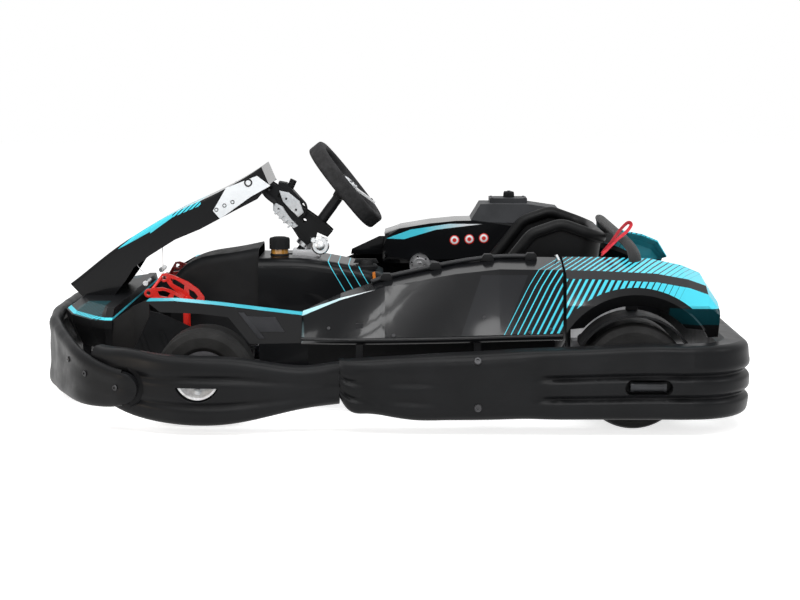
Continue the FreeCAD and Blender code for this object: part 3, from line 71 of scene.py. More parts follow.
def makeCamera():
    data = bpy.data.cameras.new("camera")
    data.lens = cameraSetup["lens"]
    data.sensor_width = cameraSetup["sensor"]
    data.clip_end = cameraSetup["farthest"]
    camera = inScene("camera", data)
    back = -Vector(cameraSetup["forward"]).normalized()
    right = Vector(cameraSetup["up"]).cross(back).normalized()
    turn = Matrix((right, back.cross(right), back)).transposed().to_4x4()
    camera.matrix_world = Matrix.Translation(cameraSetup["place"]) @ turn
    scene.camera = camera


makeCamera()

# the pale cyan is the cyan paint lightened by a painted reflection, for the side fairings' deck strip
colours = {
    "cyan": (0.075, 0.62, 0.77), "cyanAndSheen": (0.46, 0.80, 0.87), "teal": (0.010, 0.105, 0.125),
    "deepTeal": (0.004, 0.035, 0.045), "white": (0.74, 0.77, 0.80), "gloss": (0.0055, 0.0058, 0.0066),
    "plastic": (0.0075, 0.0078, 0.0085), "shoulder": (0.014, 0.0145, 0.016),
    "facet": (0.020, 0.021, 0.024), "red": (0.60, 0.012, 0.006), "orange": (0.55, 0.16, 0.01),
}
# black surfaces shine less than the shader's usual plastic, so that white surroundings don't grey them
blackShine = {"below": 0.05, "specular": 0.24, "coat": 0.22}
outlineEdge = 0.0004  # how softly a painted outline ends
everyWay = (1, 1, 1)  # a pattern that isn't stretched
# what all finishes share: the middle of the clouds, where scuffs begin, and how fine the patterns are
patternLook = {"cloud": (0.3, 0.7), "scuff": (0.64, 0.74), "scuffDetail": 4.0, "scuffRough": 0.7,
               "grainDetail": 2.0}


# nodes of any tree: a socket is fed from another socket or with a plain value
class Nodes:
    def __init__(self, tree):
        self.tree = tree

    def node(self, kind, sockets=None, **settings):
        made = self.tree.nodes.new(kind)
        for key, value in settings.items():
            setattr(made, key, value)
        for key, value in (sockets or {}).items():
            self.feed(made.inputs[key], value)
        return made

    def feed(self, socket, value):
        if isinstance(value, bpy.types.NodeSocket):
            self.tree.links.new(value, socket)
        elif isinstance(value, tuple):
            socket.default_value = (*value, 1)[:len(socket.default_value)]
        else:
            socket.default_value = value

    def calc(self, operation, *values, clamp=False):
        made = self.node("ShaderNodeMath", operation=operation, use_clamp=clamp)
        for socket, value in zip(made.inputs, values):
            self.feed(socket, value)
        return made.outputs[0]


class Finish(Nodes):
    def __init__(self, name, colour, rough, metal=0.0, coat=0.0, coatRough=0.04, specular=0.5, sheen=0.0):
        self.material = bpy.data.materials.new(name)
        self.material.use_nodes = True
        super().__init__(self.material.node_tree)
        self.shader = self.tree.nodes["Principled BSDF"]
        self.colour = colour
        if max(colour) < blackShine["below"]:
            specular *= blackShine["specular"]
            coat *= blackShine["coat"]
        self.rough = rough
        for socket, value in (("Metallic", metal), ("Coat Weight", coat), ("Coat Roughness", coatRough),
                              ("Specular IOR Level", specular), ("Sheen Weight", sheen)):
            self.shader.inputs[socket].default_value = value
        self.place = self.node("ShaderNodeTexCoord").outputs["Object"]
        split = self.node("ShaderNodeSeparateXYZ", {0: self.place})
        self.x, self.y, self.z = split.outputs
        self.heights = []

    def ramp(self, value, low, high, outLow=0.0, outHigh=1.0):
        made = self.node("ShaderNodeMapRange", {0: value, 1: low, 2: high, 3: outLow, 4: outHigh})
        return made.outputs[0]

    # masks: 1 past a mark, up to a mark, between two marks, and where all of some masks meet
    def past(self, value, mark, soft=0.001):
        return self.ramp(value, mark, mark + soft)

    def upTo(self, value, mark, soft=0.001):
        return self.ramp(value, mark, mark - soft)

    def within(self, value, marks, soft=0.001):
        return self.meet(self.past(value, marks[0], soft), self.upTo(value, marks[1], soft))

    def meet(self, mask, *others):
        for other in others:
            mask = self.calc("MULTIPLY", mask, other)
        return mask

    def mix(self, amount, first, second):
        made = self.node("ShaderNodeMix", data_type="RGBA")
        self.feed(made.inputs[0], amount)
        self.feed(made.inputs[6], first)
        self.feed(made.inputs[7], second)
        return made.outputs[2]

    def noise(self, scale, detail=3.0, rough=0.55, stretch=everyWay):
        where = self.node("ShaderNodeMapping", {0: self.place, 3: stretch}).outputs[0]
        return self.node("ShaderNodeTexNoise", {"Vector": where, "Scale": scale, "Detail": detail,
                                                "Roughness": rough}).outputs[0]

    def facing(self):
        normal = self.node("ShaderNodeNewGeometry").outputs["Normal"]
        return self.node("ShaderNodeSeparateXYZ", {0: normal}).outputs

    # a soft wave, and a saw-tooth that runs from 0 to 1 over each pitch
    def wave(self, value, rate):
        return self.calc("SINE", self.calc("MULTIPLY", value, rate))

    def teeth(self, value, pitch):
        return self.calc("FRACT", self.calc("DIVIDE", value, pitch))

    # how far along a way a point lies, and its distance from an axle along Y
    def along(self, way):
        made = self.node("ShaderNodeVectorMath", {0: self.place, 1: way}, operation="DOT_PRODUCT")
        return made.outputs["Value"]

    def reach(self, centreX, centreZ):
        dx = self.calc("SUBTRACT", self.x, centreX)
        dz = self.calc("SUBTRACT", self.z, centreZ)
        return self.calc("SQRT", self.calc("ADD", self.calc("MULTIPLY", dx, dx),
                                           self.calc("MULTIPLY", dz, dz)))

    # side of a line from first to second, seen along Y: 1 on its left hand
    def beside(self, first, second):
        run = Vector((second[0] - first[0], second[1] - first[1])).normalized()
        across = self.calc("MULTIPLY_ADD", self.x, -run.y, first[0] * run.y - first[1] * run.x)
        along = self.calc("MULTIPLY_ADD", self.z, run.x, across)
        return self.ramp(along, -outlineEdge, outlineEdge)

    # inside of an outline in X and Z that has no inward corner
    def region(self, points):
        turning = sum((b[0] - a[0]) * (b[1] + a[1]) for a, b in zip(points, points[1:] + points[:1]))
        if turning > 0:
            points = points[::-1]
        return self.meet(*[self.beside(a, b) for a, b in zip(points, points[1:] + points[:1])])

    def paint(self, mask, colour):
        self.colour = self.mix(mask, self.colour, colour)

    def cloud(self, scale, amount):
        tone = self.ramp(self.noise(scale), *patternLook["cloud"], 1 - amount, 1 + amount)
        grey = self.node("ShaderNodeCombineXYZ", {0: tone, 1: tone, 2: tone}).outputs[0]
        clouded = self.node("ShaderNodeVectorMath", {0: self.colour, 1: grey}, operation="MULTIPLY")
        self.colour = clouded.outputs[0]

    def roughen(self, scale, amount, stretch=everyWay):
        change = self.ramp(self.noise(scale, stretch=stretch), *patternLook["cloud"], -amount, amount)
        self.rough = self.calc("ADD", change, self.rough, clamp=True)

    def scuff(self, scale, stretch, amount, colour):
        marks = self.noise(scale, patternLook["scuffDetail"], patternLook["scuffRough"], stretch)
        self.paint(self.ramp(marks, *patternLook["scuff"], 0, amount), colour)

    def relief(self, height, strength, distance):
        self.heights.append((height, strength, distance))

    def grain(self, scale, strength, distance=0.0004):
        self.relief(self.noise(scale, patternLook["grainDetail"]), strength, distance)

    def done(self):
        self.feed(self.shader.inputs["Base Color"], self.colour)
        self.feed(self.shader.inputs["Roughness"], self.rough)
        normal = None
        for height, strength, distance in self.heights:
            bump = self.node("ShaderNodeBump", {"Height": height, "Strength": strength,
                                                "Distance": distance})
            if normal:
                self.tree.links.new(normal, bump.inputs["Normal"])
            normal = bump.outputs[0]
        if normal:
            self.tree.links.new(normal, self.shader.inputs["Normal"])
        return self.material


# plain finishes: tone and shine, then how they cloud, scuff, roughen, dimple and grain
plainLooks = {
    "moulded": {"name": "mouldedBlack", "tone": colours["plastic"], "rough": 0.36, "specular": 0.38,
                "cloud": (6, 0.22), "scuff": (9, (1, 1, 9), 0.22, (0.022, 0.022, 0.024)),
                "roughen": (14, 0.06), "grain": (620, 0.10)},
    "band": {"name": "bandBlack", "tone": colours["plastic"], "rough": 0.40, "specular": 0.42,
             "cloud": (8, 0.2), "scuff": (16, (1, 1, 6), 0.25, (0.024, 0.022, 0.020)),
             "roughen": (20, 0.07), "grain": (900, 0.16)},
    "tube": {"name": "tubePaint", "tone": (0.014, 0.0145, 0.016), "rough": 0.34, "coat": 0.3,
             "coatRough": 0.2, "cloud": (12, 0.25), "scuff": (26, everyWay, 0.2, (0.06, 0.06, 0.06)),
             "grain": (240, 0.05)},
    "red": {"name": "redPaint", "tone": colours["red"], "rough": 0.36, "coat": 0.35, "coatRough": 0.12,
            "cloud": (30, 0.10), "scuff": (60, everyWay, 0.4, (0.35, 0.02, 0.015)), "grain": (500, 0.08)},
    "white": {"name": "whitePlastic", "tone": colours["white"], "rough": 0.38, "cloud": (14, 0.05),
              "scuff": (40, (1, 1, 4), 0.25, (0.45, 0.46, 0.47)), "grain": (700, 0.06)},
    "palePlastic": {"name": "palePlastic", "tone": (0.56, 0.58, 0.60), "rough": 0.34, "coat": 0.2,
                    "cloud": (40, 0.14), "scuff": (70, (1, 1, 3), 0.4, (0.22, 0.23, 0.24)),
                    "grain": (600, 0.08)},
    "grip": {"name": "gripFoam", "tone": (0.024, 0.024, 0.025), "rough": 0.78, "cloud": (60, 0.30),
             "dimples": (340, 0.55, 0.0012), "grain": (1400, 0.3)},
    "orange": {"name": "orangePaint", "tone": colours["orange"], "rough": 0.4, "cloud": (50, 0.15),
               "grain": (500, 0.05)},
    "facet": {"name": "facetPlastic", "tone": (0.030, 0.031, 0.035), "rough": 0.40, "coat": 0.2,
              "cloud": (14, 0.15), "grain": (700, 0.10)},
    "amber": {"name": "amberFluid", "tone": (0.42, 0.20, 0.035), "rough": 0.16, "coat": 0.5,
              "cloud": (40, 0.25), "grain": (200, 0.03)},
}
# matt blacks: name, share of the plastic's tone, and roughness
mattLooks = {"matt": ("mattBlack", 1.0, 0.55), "seat": ("seatShell", 0.45, 0.46),
             "lampGlass": ("lampGlass", 4.0, 0.18), "lidPlastic": ("lidPlastic", 4.2, 0.5)}
mattPattern = {"cloud": (11, 0.25), "roughen": (30, 0.07), "grain": (1100, 0.18)}
# metals: name, tone, roughness, how much they cloud, and how a brushed one is stretched
metalLooks = {"castMetal": ("castMetal", (0.30, 0.30, 0.31), 0.5, 0.2),
              "steel": ("zincSteel", (0.52, 0.52, 0.53), 0.32, 0.12),
              "rimMetal": ("rimMetal", (0.16, 0.16, 0.17), 0.42, 0.2),
              "tray": ("trayMetal", (0.30, 0.30, 0.31), 0.45, 0.12, (1, 8, 1)),
              "darkSteel": ("darkSteel", (0.045, 0.045, 0.047), 0.38, 0.12),
              "brightMetal": ("brightMetal", (0.60, 0.61, 0.62), 0.30, 0.12)}
metalPattern = {"cloud": 24, "roughen": (60, 0.06), "scale": 500, "detail": 2.0, "relief": (0.06, 0.0003)}


def plainFinish(name, tone, rough, cloud, grain, scuff=None, roughen=None, dimples=None, **shine):
    f = Finish(name, tone, rough, **shine)
    f.cloud(*cloud)
    if scuff:
        f.scuff(*scuff)
    if roughen:
        f.roughen(*roughen)
    if dimples:
        f.relief(f.noise(dimples[0]), *dimples[1:])
    f.grain(*grain)
    return f.done()


def mattBlack(name, share, rough):
    return plainFinish(name, tuple(c * share for c in colours["plastic"]), rough, **mattPattern)


def metal(name, tone, rough, amount, brush=everyWay):
    f = Finish(name, tone, rough, metal=1.0)
    f.cloud(metalPattern["cloud"], amount)
    f.roughen(*metalPattern["roughen"], stretch=brush)
    f.relief(f.noise(metalPattern["scale"], metalPattern["detail"], stretch=brush), *metalPattern["relief"])
    return f.done()


glossLook = {"specular": 0.4, "cloud": (3, 0.08), "roughen": (8, 0.015)}


def glossBlack(name, rough=0.16, coat=0.5):
    f = Finish(name, colours["gloss"], rough, coat=coat, specular=glossLook["specular"])
    f.cloud(*glossLook["cloud"])
    f.roughen(*glossLook["roughen"])
    return f


# thin slanted stripes that thicken rearwards until they close up
slant = {"lean": 0.52, "pitch": 0.0172, "start": -0.174, "full": -0.600, "thin": 0.10, "deckLean": 0.45,
         "deckEdge": 0.530, "lineSoft": 0.02, "startSoft": 0.0005, "fullSoft": 0.001}
# on the side fairings the colour of the deck is partly a painted reflection
deckUp = (0.50, 0.56)  # how much a face looks upwards where the paint of a deck begins and is full


def slantedStripes(f):
    s = f.calc("MULTIPLY_ADD", f.z, slant["lean"], f.x)
    inboard = f.calc("MAXIMUM", f.calc("SUBTRACT", slant["deckEdge"], f.calc("ABSOLUTE", f.y)), 0.0)
    s = f.calc("MULTIPLY_ADD", inboard, slant["deckLean"], s)
    share = f.ramp(s, slant["start"], slant["full"], slant["thin"], 1.0)
    centred = f.calc("ABSOLUTE", f.calc("SUBTRACT", f.teeth(s, slant["pitch"]), 0.5))
    gap = f.calc("SUBTRACT", f.calc("MULTIPLY", share, 0.5), centred)
    line = f.ramp(gap, -slant["lineSoft"], slant["lineSoft"])
    solid = f.ramp(s, slant["full"] + slant["fullSoft"], slant["full"] - slant["fullSoft"])
    begin = f.ramp(s, slant["start"] + slant["startSoft"], slant["start"] - slant["startSoft"])
    f.paint(f.meet(f.calc("MAXIMUM", line, solid), begin), colours["cyan"])


# a dull facet, the stripes, and a pale strip that tapers off along the deck; the strip is partly cyan paint
# and partly a painted reflection, which turns it pale and white
sideArt = {"facet": [(-0.250, 0.400), (-0.190, 0.225), (-0.300, 0.225), (-0.372, 0.400)],
           "facetShare": 0.5, "tint": (0.05, 0.20), "stripEnd": 0.000, "stripEdge": 0.525,
           "stripTaper": 0.20, "stripSoft": 0.0008}


def sideFairingFinish():
    f = glossBlack("sideFairingGloss")
    f.paint(f.calc("MULTIPLY", f.region(sideArt["facet"]), sideArt["facetShare"]), colours["facet"])
    slantedStripes(f)
    width = f.calc("MULTIPLY", f.calc("SUBTRACT", f.x, sideArt["stripEnd"]), sideArt["stripTaper"])
    inner = f.calc("SUBTRACT", sideArt["stripEdge"], f.calc("ABSOLUTE", f.y))
    strip = f.past(f.calc("SUBTRACT", width, inner), 0.0, sideArt["stripSoft"])
    # painted reflection on the upward faces: white behind, and pale over the cyan paint in front
    tint = f.mix(f.ramp(f.x, *sideArt["tint"]), colours["white"], colours["cyanAndSheen"])
    f.paint(f.meet(f.ramp(f.facing()[2], *deckUp), strip), tint)
    return f.done()


# the painted side ends at a dark shoulder above, the wheel arch and a dark lip below
rearArt = {"shoulderOut": (0.27, 0.80), "shoulderUp": 0.50, "shoulderSoft": 0.02, "shoulderEnd": -0.842,
           "arch": (-0.647, 0.140), "archRadius": 0.232, "archSoft": 0.0005, "lip": 0.318,
           "lipEnd": 0.274, "lipFront": -0.740}


def rearFairingFinish():
    f = glossBlack("rearFairingGloss")
    slantedStripes(f)
    soft = rearArt["shoulderSoft"]
    shoulder = f.meet(f.within(f.calc("ABSOLUTE", f.facing()[1]), rearArt["shoulderOut"], soft),
                      f.past(f.facing()[2], rearArt["shoulderUp"], soft),
                      f.past(f.x, rearArt["shoulderEnd"]))
    f.paint(shoulder, colours["shoulder"])
    soft = rearArt["archSoft"]
    f.paint(f.upTo(f.reach(*rearArt["arch"]), rearArt["archRadius"] + soft, soft), colours["plastic"])
    for mark, colour in (("lip", "deepTeal"), ("lipEnd", "plastic")):
        f.paint(f.meet(f.upTo(f.z, rearArt[mark]), f.upTo(f.x, rearArt["lipFront"])), colours[colour])
    return f.done()


def finFinish():
    f = glossBlack("finGloss")
    f.paint(f.ramp(f.facing()[2], *deckUp), colours["cyan"])
    return f.done()


# a bright line round the nose and fine lines on its two scoops
noseArt = {"lip": (0.2640, 0.2705), "lipSoft": 0.0005, "scoopX": (0.770, 0.860), "scoopY": (0.25, 0.42),
           "scoopSoft": 0.002, "scoopUp": (0.30, 0.34), "pitch": 0.011, "line": 0.36, "lineSoft": 0.04}


def noseFinish():
    f = glossBlack("noseGloss", rough=0.40, coat=0.0)
    f.paint(f.within(f.z, noseArt["lip"], noseArt["lipSoft"]), colours["cyan"])
    band = f.meet(f.within(f.x, noseArt["scoopX"]), f.ramp(f.facing()[2], *noseArt["scoopUp"]),
                  f.within(f.calc("ABSOLUTE", f.y), noseArt["scoopY"], noseArt["scoopSoft"]))
    line = f.upTo(f.teeth(f.y, noseArt["pitch"]), noseArt["line"], noseArt["lineSoft"])
    f.paint(f.meet(band, line), colours["teal"])
    return f.done()


# a bent wedge and a row of slanted bars behind it
archArt = {"wedge": [[(0.777, 0.418), (0.676, 0.500), (0.677, 0.468), (0.748, 0.434)],
                     [(0.676, 0.500), (0.613, 0.533), (0.613, 0.514), (0.677, 0.468)]],
           "bars": [(0.613, 0.548), (0.532, 0.573), (0.532, 0.548), (0.613, 0.514)],
           "pitch": 0.010, "gap": 0.35, "gapSoft": 0.05}


def archFinish():
    f = glossBlack("archGloss")
    front, rear = [f.region(part) for part in archArt["wedge"]]
    f.paint(f.calc("MAXIMUM", front, rear), colours["cyan"])
    teeth = f.teeth(f.calc("ADD", f.x, f.z), archArt["pitch"])
    bars = f.meet(f.region(archArt["bars"]), f.past(teeth, archArt["gap"], archArt["gapSoft"]))
    f.paint(bars, colours["cyan"])
    return f.done()


# fine slanted lines high on the tank
tankArt = {"lean": -0.58, "pitch": 0.026, "line": 0.10, "lineSoft": 0.02,
           "span": (-0.145, -0.035), "above": 0.30, "aboveSoft": 0.005}


def tankFinish():
    f = glossBlack("tankGloss", rough=0.30, coat=0.15)
    s = f.calc("MULTIPLY_ADD", f.z, tankArt["lean"], f.x)
    lines = f.meet(f.upTo(f.teeth(s, tankArt["pitch"]), tankArt["line"], tankArt["lineSoft"]),
                   f.within(s, tankArt["span"]), f.past(f.z, tankArt["above"], tankArt["aboveSoft"]))
    f.paint(lines, colours["cyan"])
    return f.done()


# a stripe along the engine's cowl that pales rearwards
engineArt = {"stripe": [[(0.012, 0.417), (-0.043, 0.415), (-0.140, 0.444), (-0.062, 0.444)],
                        [(-0.062, 0.444), (-0.140, 0.444), (-0.279, 0.461), (-0.181, 0.462)]],
             "tint": (-0.23, -0.10)}


def engineCoverFinish():
    f = glossBlack("coverGloss")
    tint = f.mix(f.ramp(f.x, *engineArt["tint"]), colours["white"], colours["cyan"])
    for part in engineArt["stripe"]:
        f.paint(f.region(part), tint)
    return f.done()


# rubber with fine moulded rings on its side walls
tyreLook = {"tone": (0.018, 0.018, 0.018), "rough": 0.62, "ringPitch": 0.0035, "wall": (0.7, 0.8),
            "relief": (0.25, 0.0006), "cloud": (18, 0.30),
            "scuff": (30, everyWay, 0.25, (0.045, 0.043, 0.040)),
            "grain": (420, 0.35, 0.0005), "roughen": (40, 0.08)}
axles = {"front": (0.478, 0.130), "rear": (-0.647, 0.140)}  # X and Z


def tyreFinish(name, axle):
    f = Finish(name, tyreLook["tone"], tyreLook["rough"])
    rings = f.wave(f.reach(*axle), 2 * math.pi / tyreLook["ringPitch"])
    wall = f.ramp(f.calc("ABSOLUTE", f.facing()[1]), *tyreLook["wall"])
    f.cloud(*tyreLook["cloud"])
    f.scuff(*tyreLook["scuff"])
    f.relief(f.meet(rings, wall), *tyreLook["relief"])
    f.grain(*tyreLook["grain"])
    f.roughen(*tyreLook["roughen"])
    return f.done()


# finishes with fine waves: the ways in which these run, their rate and their relief
wavyLooks = {
    "webbing": {"name": "redWebbing", "tone": (0.50, 0.006, 0.020), "rough": 0.7, "sheen": 0.3,
                "ways": [(1, 0, -1)], "rate": 2200.0, "relief": (0.4, 0.0004), "cloud": (60, 0.2)},
    # the head lamps' chrome reflector and lens get one pale tone, so that they look bright: partly the
    # lens's own pale tone, partly a painted reflection
    "lampPale": {"name": "lampPale", "tone": (0.80, 0.81, 0.82), "rough": 0.20, "metal": 0.15,
                 "coat": 0.6, "ways": [(1, 0, 0)], "rate": 900.0, "relief": (0.25, 0.0006),
                 "cloud": (60, 0.25)},
    "sleeve": {"name": "wovenSleeve", "tone": (0.020, 0.0205, 0.021), "rough": 0.70, "sheen": 0.15,
               "ways": [(1, 1, 1), (-1, -1, 1)], "rate": 1500.0, "relief": (0.35, 0.0006),
               "cloud": (22, 0.25)},
}


def wavyFinish(name, tone, rough, ways, rate, relief, cloud, **shine):
    f = Finish(name, tone, rough, **shine)
    f.relief(f.meet(*[f.wave(f.along(way), rate) for way in ways]), *relief)
    f.cloud(*cloud)
    return f.done()


made = {
    "gloss": glossBlack("glossBlack").done(), "side": sideFairingFinish(), "rear": rearFairingFinish(),
    "fin": finFinish(), "nose": noseFinish(), "arch": archFinish(), "tank": tankFinish(),
    "cover": engineCoverFinish(), "frontTyre": tyreFinish("frontTyreRubber", axles["front"]),
    "rearTyre": tyreFinish("rearTyreRubber", axles["rear"]),
    **{key: plainFinish(**look) for key, look in plainLooks.items()},
    **{key: wavyFinish(**look) for key, look in wavyLooks.items()},
    **{key: mattBlack(*look) for key, look in mattLooks.items()},
    **{key: metal(*look) for key, look in metalLooks.items()},
}
# which solids wear a finish, left and right alike; the rest are matt black
wear = {
    "tube": ["side_rail", "cross_tubes", "guard_bars", "king_pin_yokes", "fairing_mounts", "seat_stays",
             "steering_column"],
    "steel": ["rear_axle", "knuckle", "tie_rod", "column_bearings", "engine_end_cap"],
    "castMetal": ["bearing_carriers", "brake_caliper", "engine_block", "engine_mount"],
    "rimMetal": ["front_rim", "rear_rim"], "tray": ["floor_tray"], "moulded": ["rear_guard", "front_pod"],
    "band": ["front_bumper"], "nose": ["nose_cone"], "arch": ["front_arch"], "white": ["arch_plates"],
    "tank": ["fuel_tank"], "amber": ["filler_cap"], "red": ["pedals"], "fin": ["front_fin"],
    "side": ["side_fairing"], "rear": ["rear_fairing"], "seat": ["seat"], "sleeve": ["rear_hoop"],
    "cover": ["engine_cover"], "lidPlastic": ["air_box"], "grip": ["steering_wheel"],
    "frontTyre": ["front_tyre"], "rearTyre": ["rear_tyre"], "lampPale": ["head_lamps"],
    "lampGlass": ["tail_lamps"],
}


def dressNodes():
    worn = {plain: finish for finish, plains in wear.items() for plain in plains}
    for name, node in nodes.items():
        plain = name.removesuffix("_left").removesuffix("_right")
        node.data.materials.clear()
        node.data.materials.append(made[worn.get(plain, "matt")])


dressNodes()
print("nodes dressed")

tipRadius = 0.0002  # what a turned shape narrows to on its axis
farAway = 1.0  # how far off a line starts that looks for a surface


def meshFrom(name, bm):
    bmesh.ops.recalc_face_normals(bm, faces=bm.faces)
    mesh = bpy.data.meshes.new(name)
    bm.to_mesh(mesh)
    bm.free()
    return mesh


# a closed mesh becomes a piece that rides on its body
def addPiece(name, bm, finish, body="kart", angle=0.6):
    bmesh.ops.remove_doubles(bm, verts=bm.verts, dist=1e-6)
    mesh = meshFrom(name, bm)
    mesh.shade_smooth()
    mesh.set_sharp_from_angle(angle=angle)
    mesh.materials.append(made[finish])
    piece = inScene(name, mesh)
    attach(piece, body)
    return piece


# faces between two rings of as many points, and a lid on each end of a row of rings
def joinRings(bm, first, second):
    for n in range(len(first)):
        m = (n + 1) % len(first)
        bm.faces.new((first[n], first[m], second[m], second[n]))


def closeEnds(bm, rings):
    bm.faces.new(rings[0][::-1])
    bm.faces.new(rings[-1])


# an outline in the X-Z plane, pulled along Y, with its edges eased
def plateMesh(bm, outline, y, thick, ease=0.001):
    low = [bm.verts.new((x, y - thick / 2, z)) for x, z in outline]
    high = [bm.verts.new((x, y + thick / 2, z)) for x, z in outline]
    lids = [bm.faces.new(low[::-1]), bm.faces.new(high)]
    joinRings(bm, low, high)
    edges = [e for face in lids for e in face.edges]
    bmesh.ops.bevel(bm, geom=edges, offset=ease, segments=2, affect="EDGES", profile=0.6)


# an outline drawn about a point, moved to where the point is
def placed(outline, x, z):
    return [(x + dx, z + dz) for dx, dz in outline]


# rings of points along a path, each turned square to it
def tubeMesh(bm, path, radius, sides=12, closed=False, flat=1.0):
    path = [Vector(p) for p in path]
    count = len(path)
    rings = []
    side = None
    for i, place in enumerate(path):
        ahead = path[(i + 1) % count] if closed or i < count - 1 else place
        behind = path[i - 1] if closed or i else place
        run = (ahead - behind).normalized()
        side = side or run.orthogonal().normalized()
        side = (side - run * side.dot(run)).normalized()
        other = run.cross(side)
        turns = [2 * math.pi * n / sides for n in range(sides)]
        rings.append([bm.verts.new(place + side * math.cos(turn) * radius
                                   + other * math.sin(turn) * radius * flat) for turn in turns])
    for first, second in zip(rings, rings[1:] + (rings[:1] if closed else [])):
        joinRings(bm, first, second)
    if not closed:
        closeEnds(bm, rings)


def onSide(path, sign):
    return [(x, y * sign, z) for x, y, z in path]


# a smooth line through a few given points
def smoothLine(points, steps=6, closed=False):
    points = [Vector(p) for p in points]
    count = len(points)
    line = []
    for i in range(count if closed else count - 1):
        a, b, c, d = [points[n % count if closed else min(max(n, 0), count - 1)]
                      for n in range(i - 1, i + 3)]
        for n in range(steps):
            t = n / steps
            line.append(0.5 * ((2 * b) + (c - a) * t + (2 * a - 5 * b + 4 * c - d) * t * t
                               + (3 * b - a - 3 * c + d) * t * t * t))
    if not closed:
        line.append(points[-1])
    return line


# a profile of (distance along the axis, radius) turned round it; a ribbed rim has every other line sunk
def turnedMesh(bm, place, axis, profile, sides=32, ribDeep=0.0):
    axis = Vector(axis).normalized()
    side = axis.orthogonal().normalized()
    other = axis.cross(side)
    rings = []
    for along, reach in profile:
        ring = []
        for n in range(sides):
            turn = 2 * math.pi * n / sides
            out = max(reach - (ribDeep if n % 2 else 0.0), tipRadius)
            ring.append(bm.verts.new(Vector(place) + axis * along
                                     + (side * math.cos(turn) + other * math.sin(turn)) * out))
        rings.append(ring)
    for first, second in zip(rings, rings[1:]):
        joinRings(bm, first, second)
    closeEnds(bm, rings)


def surfaceOf(node, start, way):
    hit, place, normal, _ = nodes[node].ray_cast(Vector(start), Vector(way).normalized())
    if not hit:
        raise RuntimeError("no surface of %s from %s" % (node, start))
    return place, normal


def below(node, x, y):
    return surfaceOf(node, (x, y, farAway), (0, 0, -1))


# screws: one head with a sunk socket, set on marked points by Geometry Nodes
screwLook = {"radius": 0.0060, "high": 0.0030, "sunk": 0.0012, "shoulder": 0.6, "top": 0.82,
             "socket": 0.45, "socketFloor": 0.35, "sides": 12, "seed": 7, "spin": 6.28}


def screwHead():
    bm = bmesh.new()
    r, h = screwLook["radius"], screwLook["high"]
    socket, floor = r * screwLook["socket"], h * screwLook["socketFloor"]
    profile = [(-screwLook["sunk"], r), (h * screwLook["shoulder"], r), (h, r * screwLook["top"]),
               (h, socket), (floor, socket), (floor, tipRadius)]
    turnedMesh(bm, (0, 0, 0), (0, 0, 1), profile, screwLook["sides"])
    return inScene("screwHead", meshFrom("screwHead", bm))


def screwTree():
    tree = bpy.data.node_groups.new("screws", "GeometryNodeTree")
    for label, kind in (("Points", "Geometry"), ("Head", "Object"), ("Size", "Float"),
                        ("Material", "Material")):
        tree.interface.new_socket(label, in_out="INPUT", socket_type="NodeSocket" + kind)
    tree.interface.new_socket("Screws", in_out="OUTPUT", socket_type="NodeSocketGeometry")
    t = Nodes(tree)
    inward = t.node("NodeGroupInput").outputs
    head = t.node("GeometryNodeObjectInfo", {"Object": inward["Head"]})
    normal = t.node("GeometryNodeInputNamedAttribute", {"Name": "outward"}, data_type="FLOAT_VECTOR")
    spin = t.node("FunctionNodeRandomValue", {"Seed": screwLook["seed"], 3: screwLook["spin"]})
    align = t.node("FunctionNodeAlignRotationToVector", {"Vector": normal.outputs["Attribute"]}, axis="Z")
    about = t.node("FunctionNodeAxisAngleToRotation", {"Angle": spin.outputs[1]})
    turn = t.node("FunctionNodeRotateRotation", {0: align.outputs[0], 1: about.outputs[0]},
                  rotation_space="LOCAL")
    place = t.node("GeometryNodeInstanceOnPoints", {
        "Points": inward["Points"], "Instance": head.outputs["Geometry"], "Rotation": turn.outputs[0],
        "Scale": inward["Size"]})
    real = t.node("GeometryNodeRealizeInstances", {0: place.outputs[0]})
    dress = t.node("GeometryNodeSetMaterial", {"Geometry": real.outputs[0],
                                               "Material": inward["Material"]})
    t.node("NodeGroupOutput", {"Screws": dress.outputs[0]})
    return tree


def setScrews(name, marks, size, body="kart"):
    mesh = bpy.data.meshes.new(name + "Marks")
    mesh.from_pydata([place for place, _ in marks], [], [])
    outwards = mesh.attributes.new("outward", "FLOAT_VECTOR", "POINT")
    for i, (_, normal) in enumerate(marks):
        outwards.data[i].vector = normal
    holder = inScene(name + "Marks", mesh)
    modifier = holder.modifiers.new("screws", "NODES")
    modifier.node_group = screwNodes
    keys = {item.name: item.identifier for item in screwNodes.interface.items_tree
            if item.in_out == "INPUT"}
    modifier[keys["Head"]] = screwForm
    modifier[keys["Size"]] = size
    modifier[keys["Material"]] = made["darkSteel"]
    bpy.context.view_layer.update()
    seen = holder.evaluated_get(bpy.context.evaluated_depsgraph_get())
    final = bpy.data.meshes.new_from_object(seen)
    bpy.data.objects.remove(holder)
    piece = inScene(name, final)
    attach(piece, body)


screwForm = screwHead()
screwNodes = screwTree()

# screws seen from the side: size, solid, and places in X and Z; each is put on the surface it meets
screwRows = {"ring": (1.7, "rear_guard_left", [(-0.236, 0.199), (-0.237, 0.078)]),
             "side": (0.8, "side_fairing_left", [(-0.257, 0.292), (-0.376, 0.254), (0.150, 0.262),
                                                 (-0.02, 0.245), (-0.430, 0.262)]),
             "band": (1.3, "front_bumper", [(0.695, 0.123), (0.784, 0.149), (0.842, 0.172)])}


def mirrored(marks):
    flip = Vector((1, -1, 1))
    return marks + [(place * flip, normal * flip) for place, normal in marks]


def makeScrews():
    for name, (size, node, places) in screwRows.items():
        marks = [surfaceOf(node, (x, farAway, z), (0, -1, 0)) for x, z in places]
        setScrews(name + "Screws", mirrored(marks), size)


makeScrews()
print("screws set")

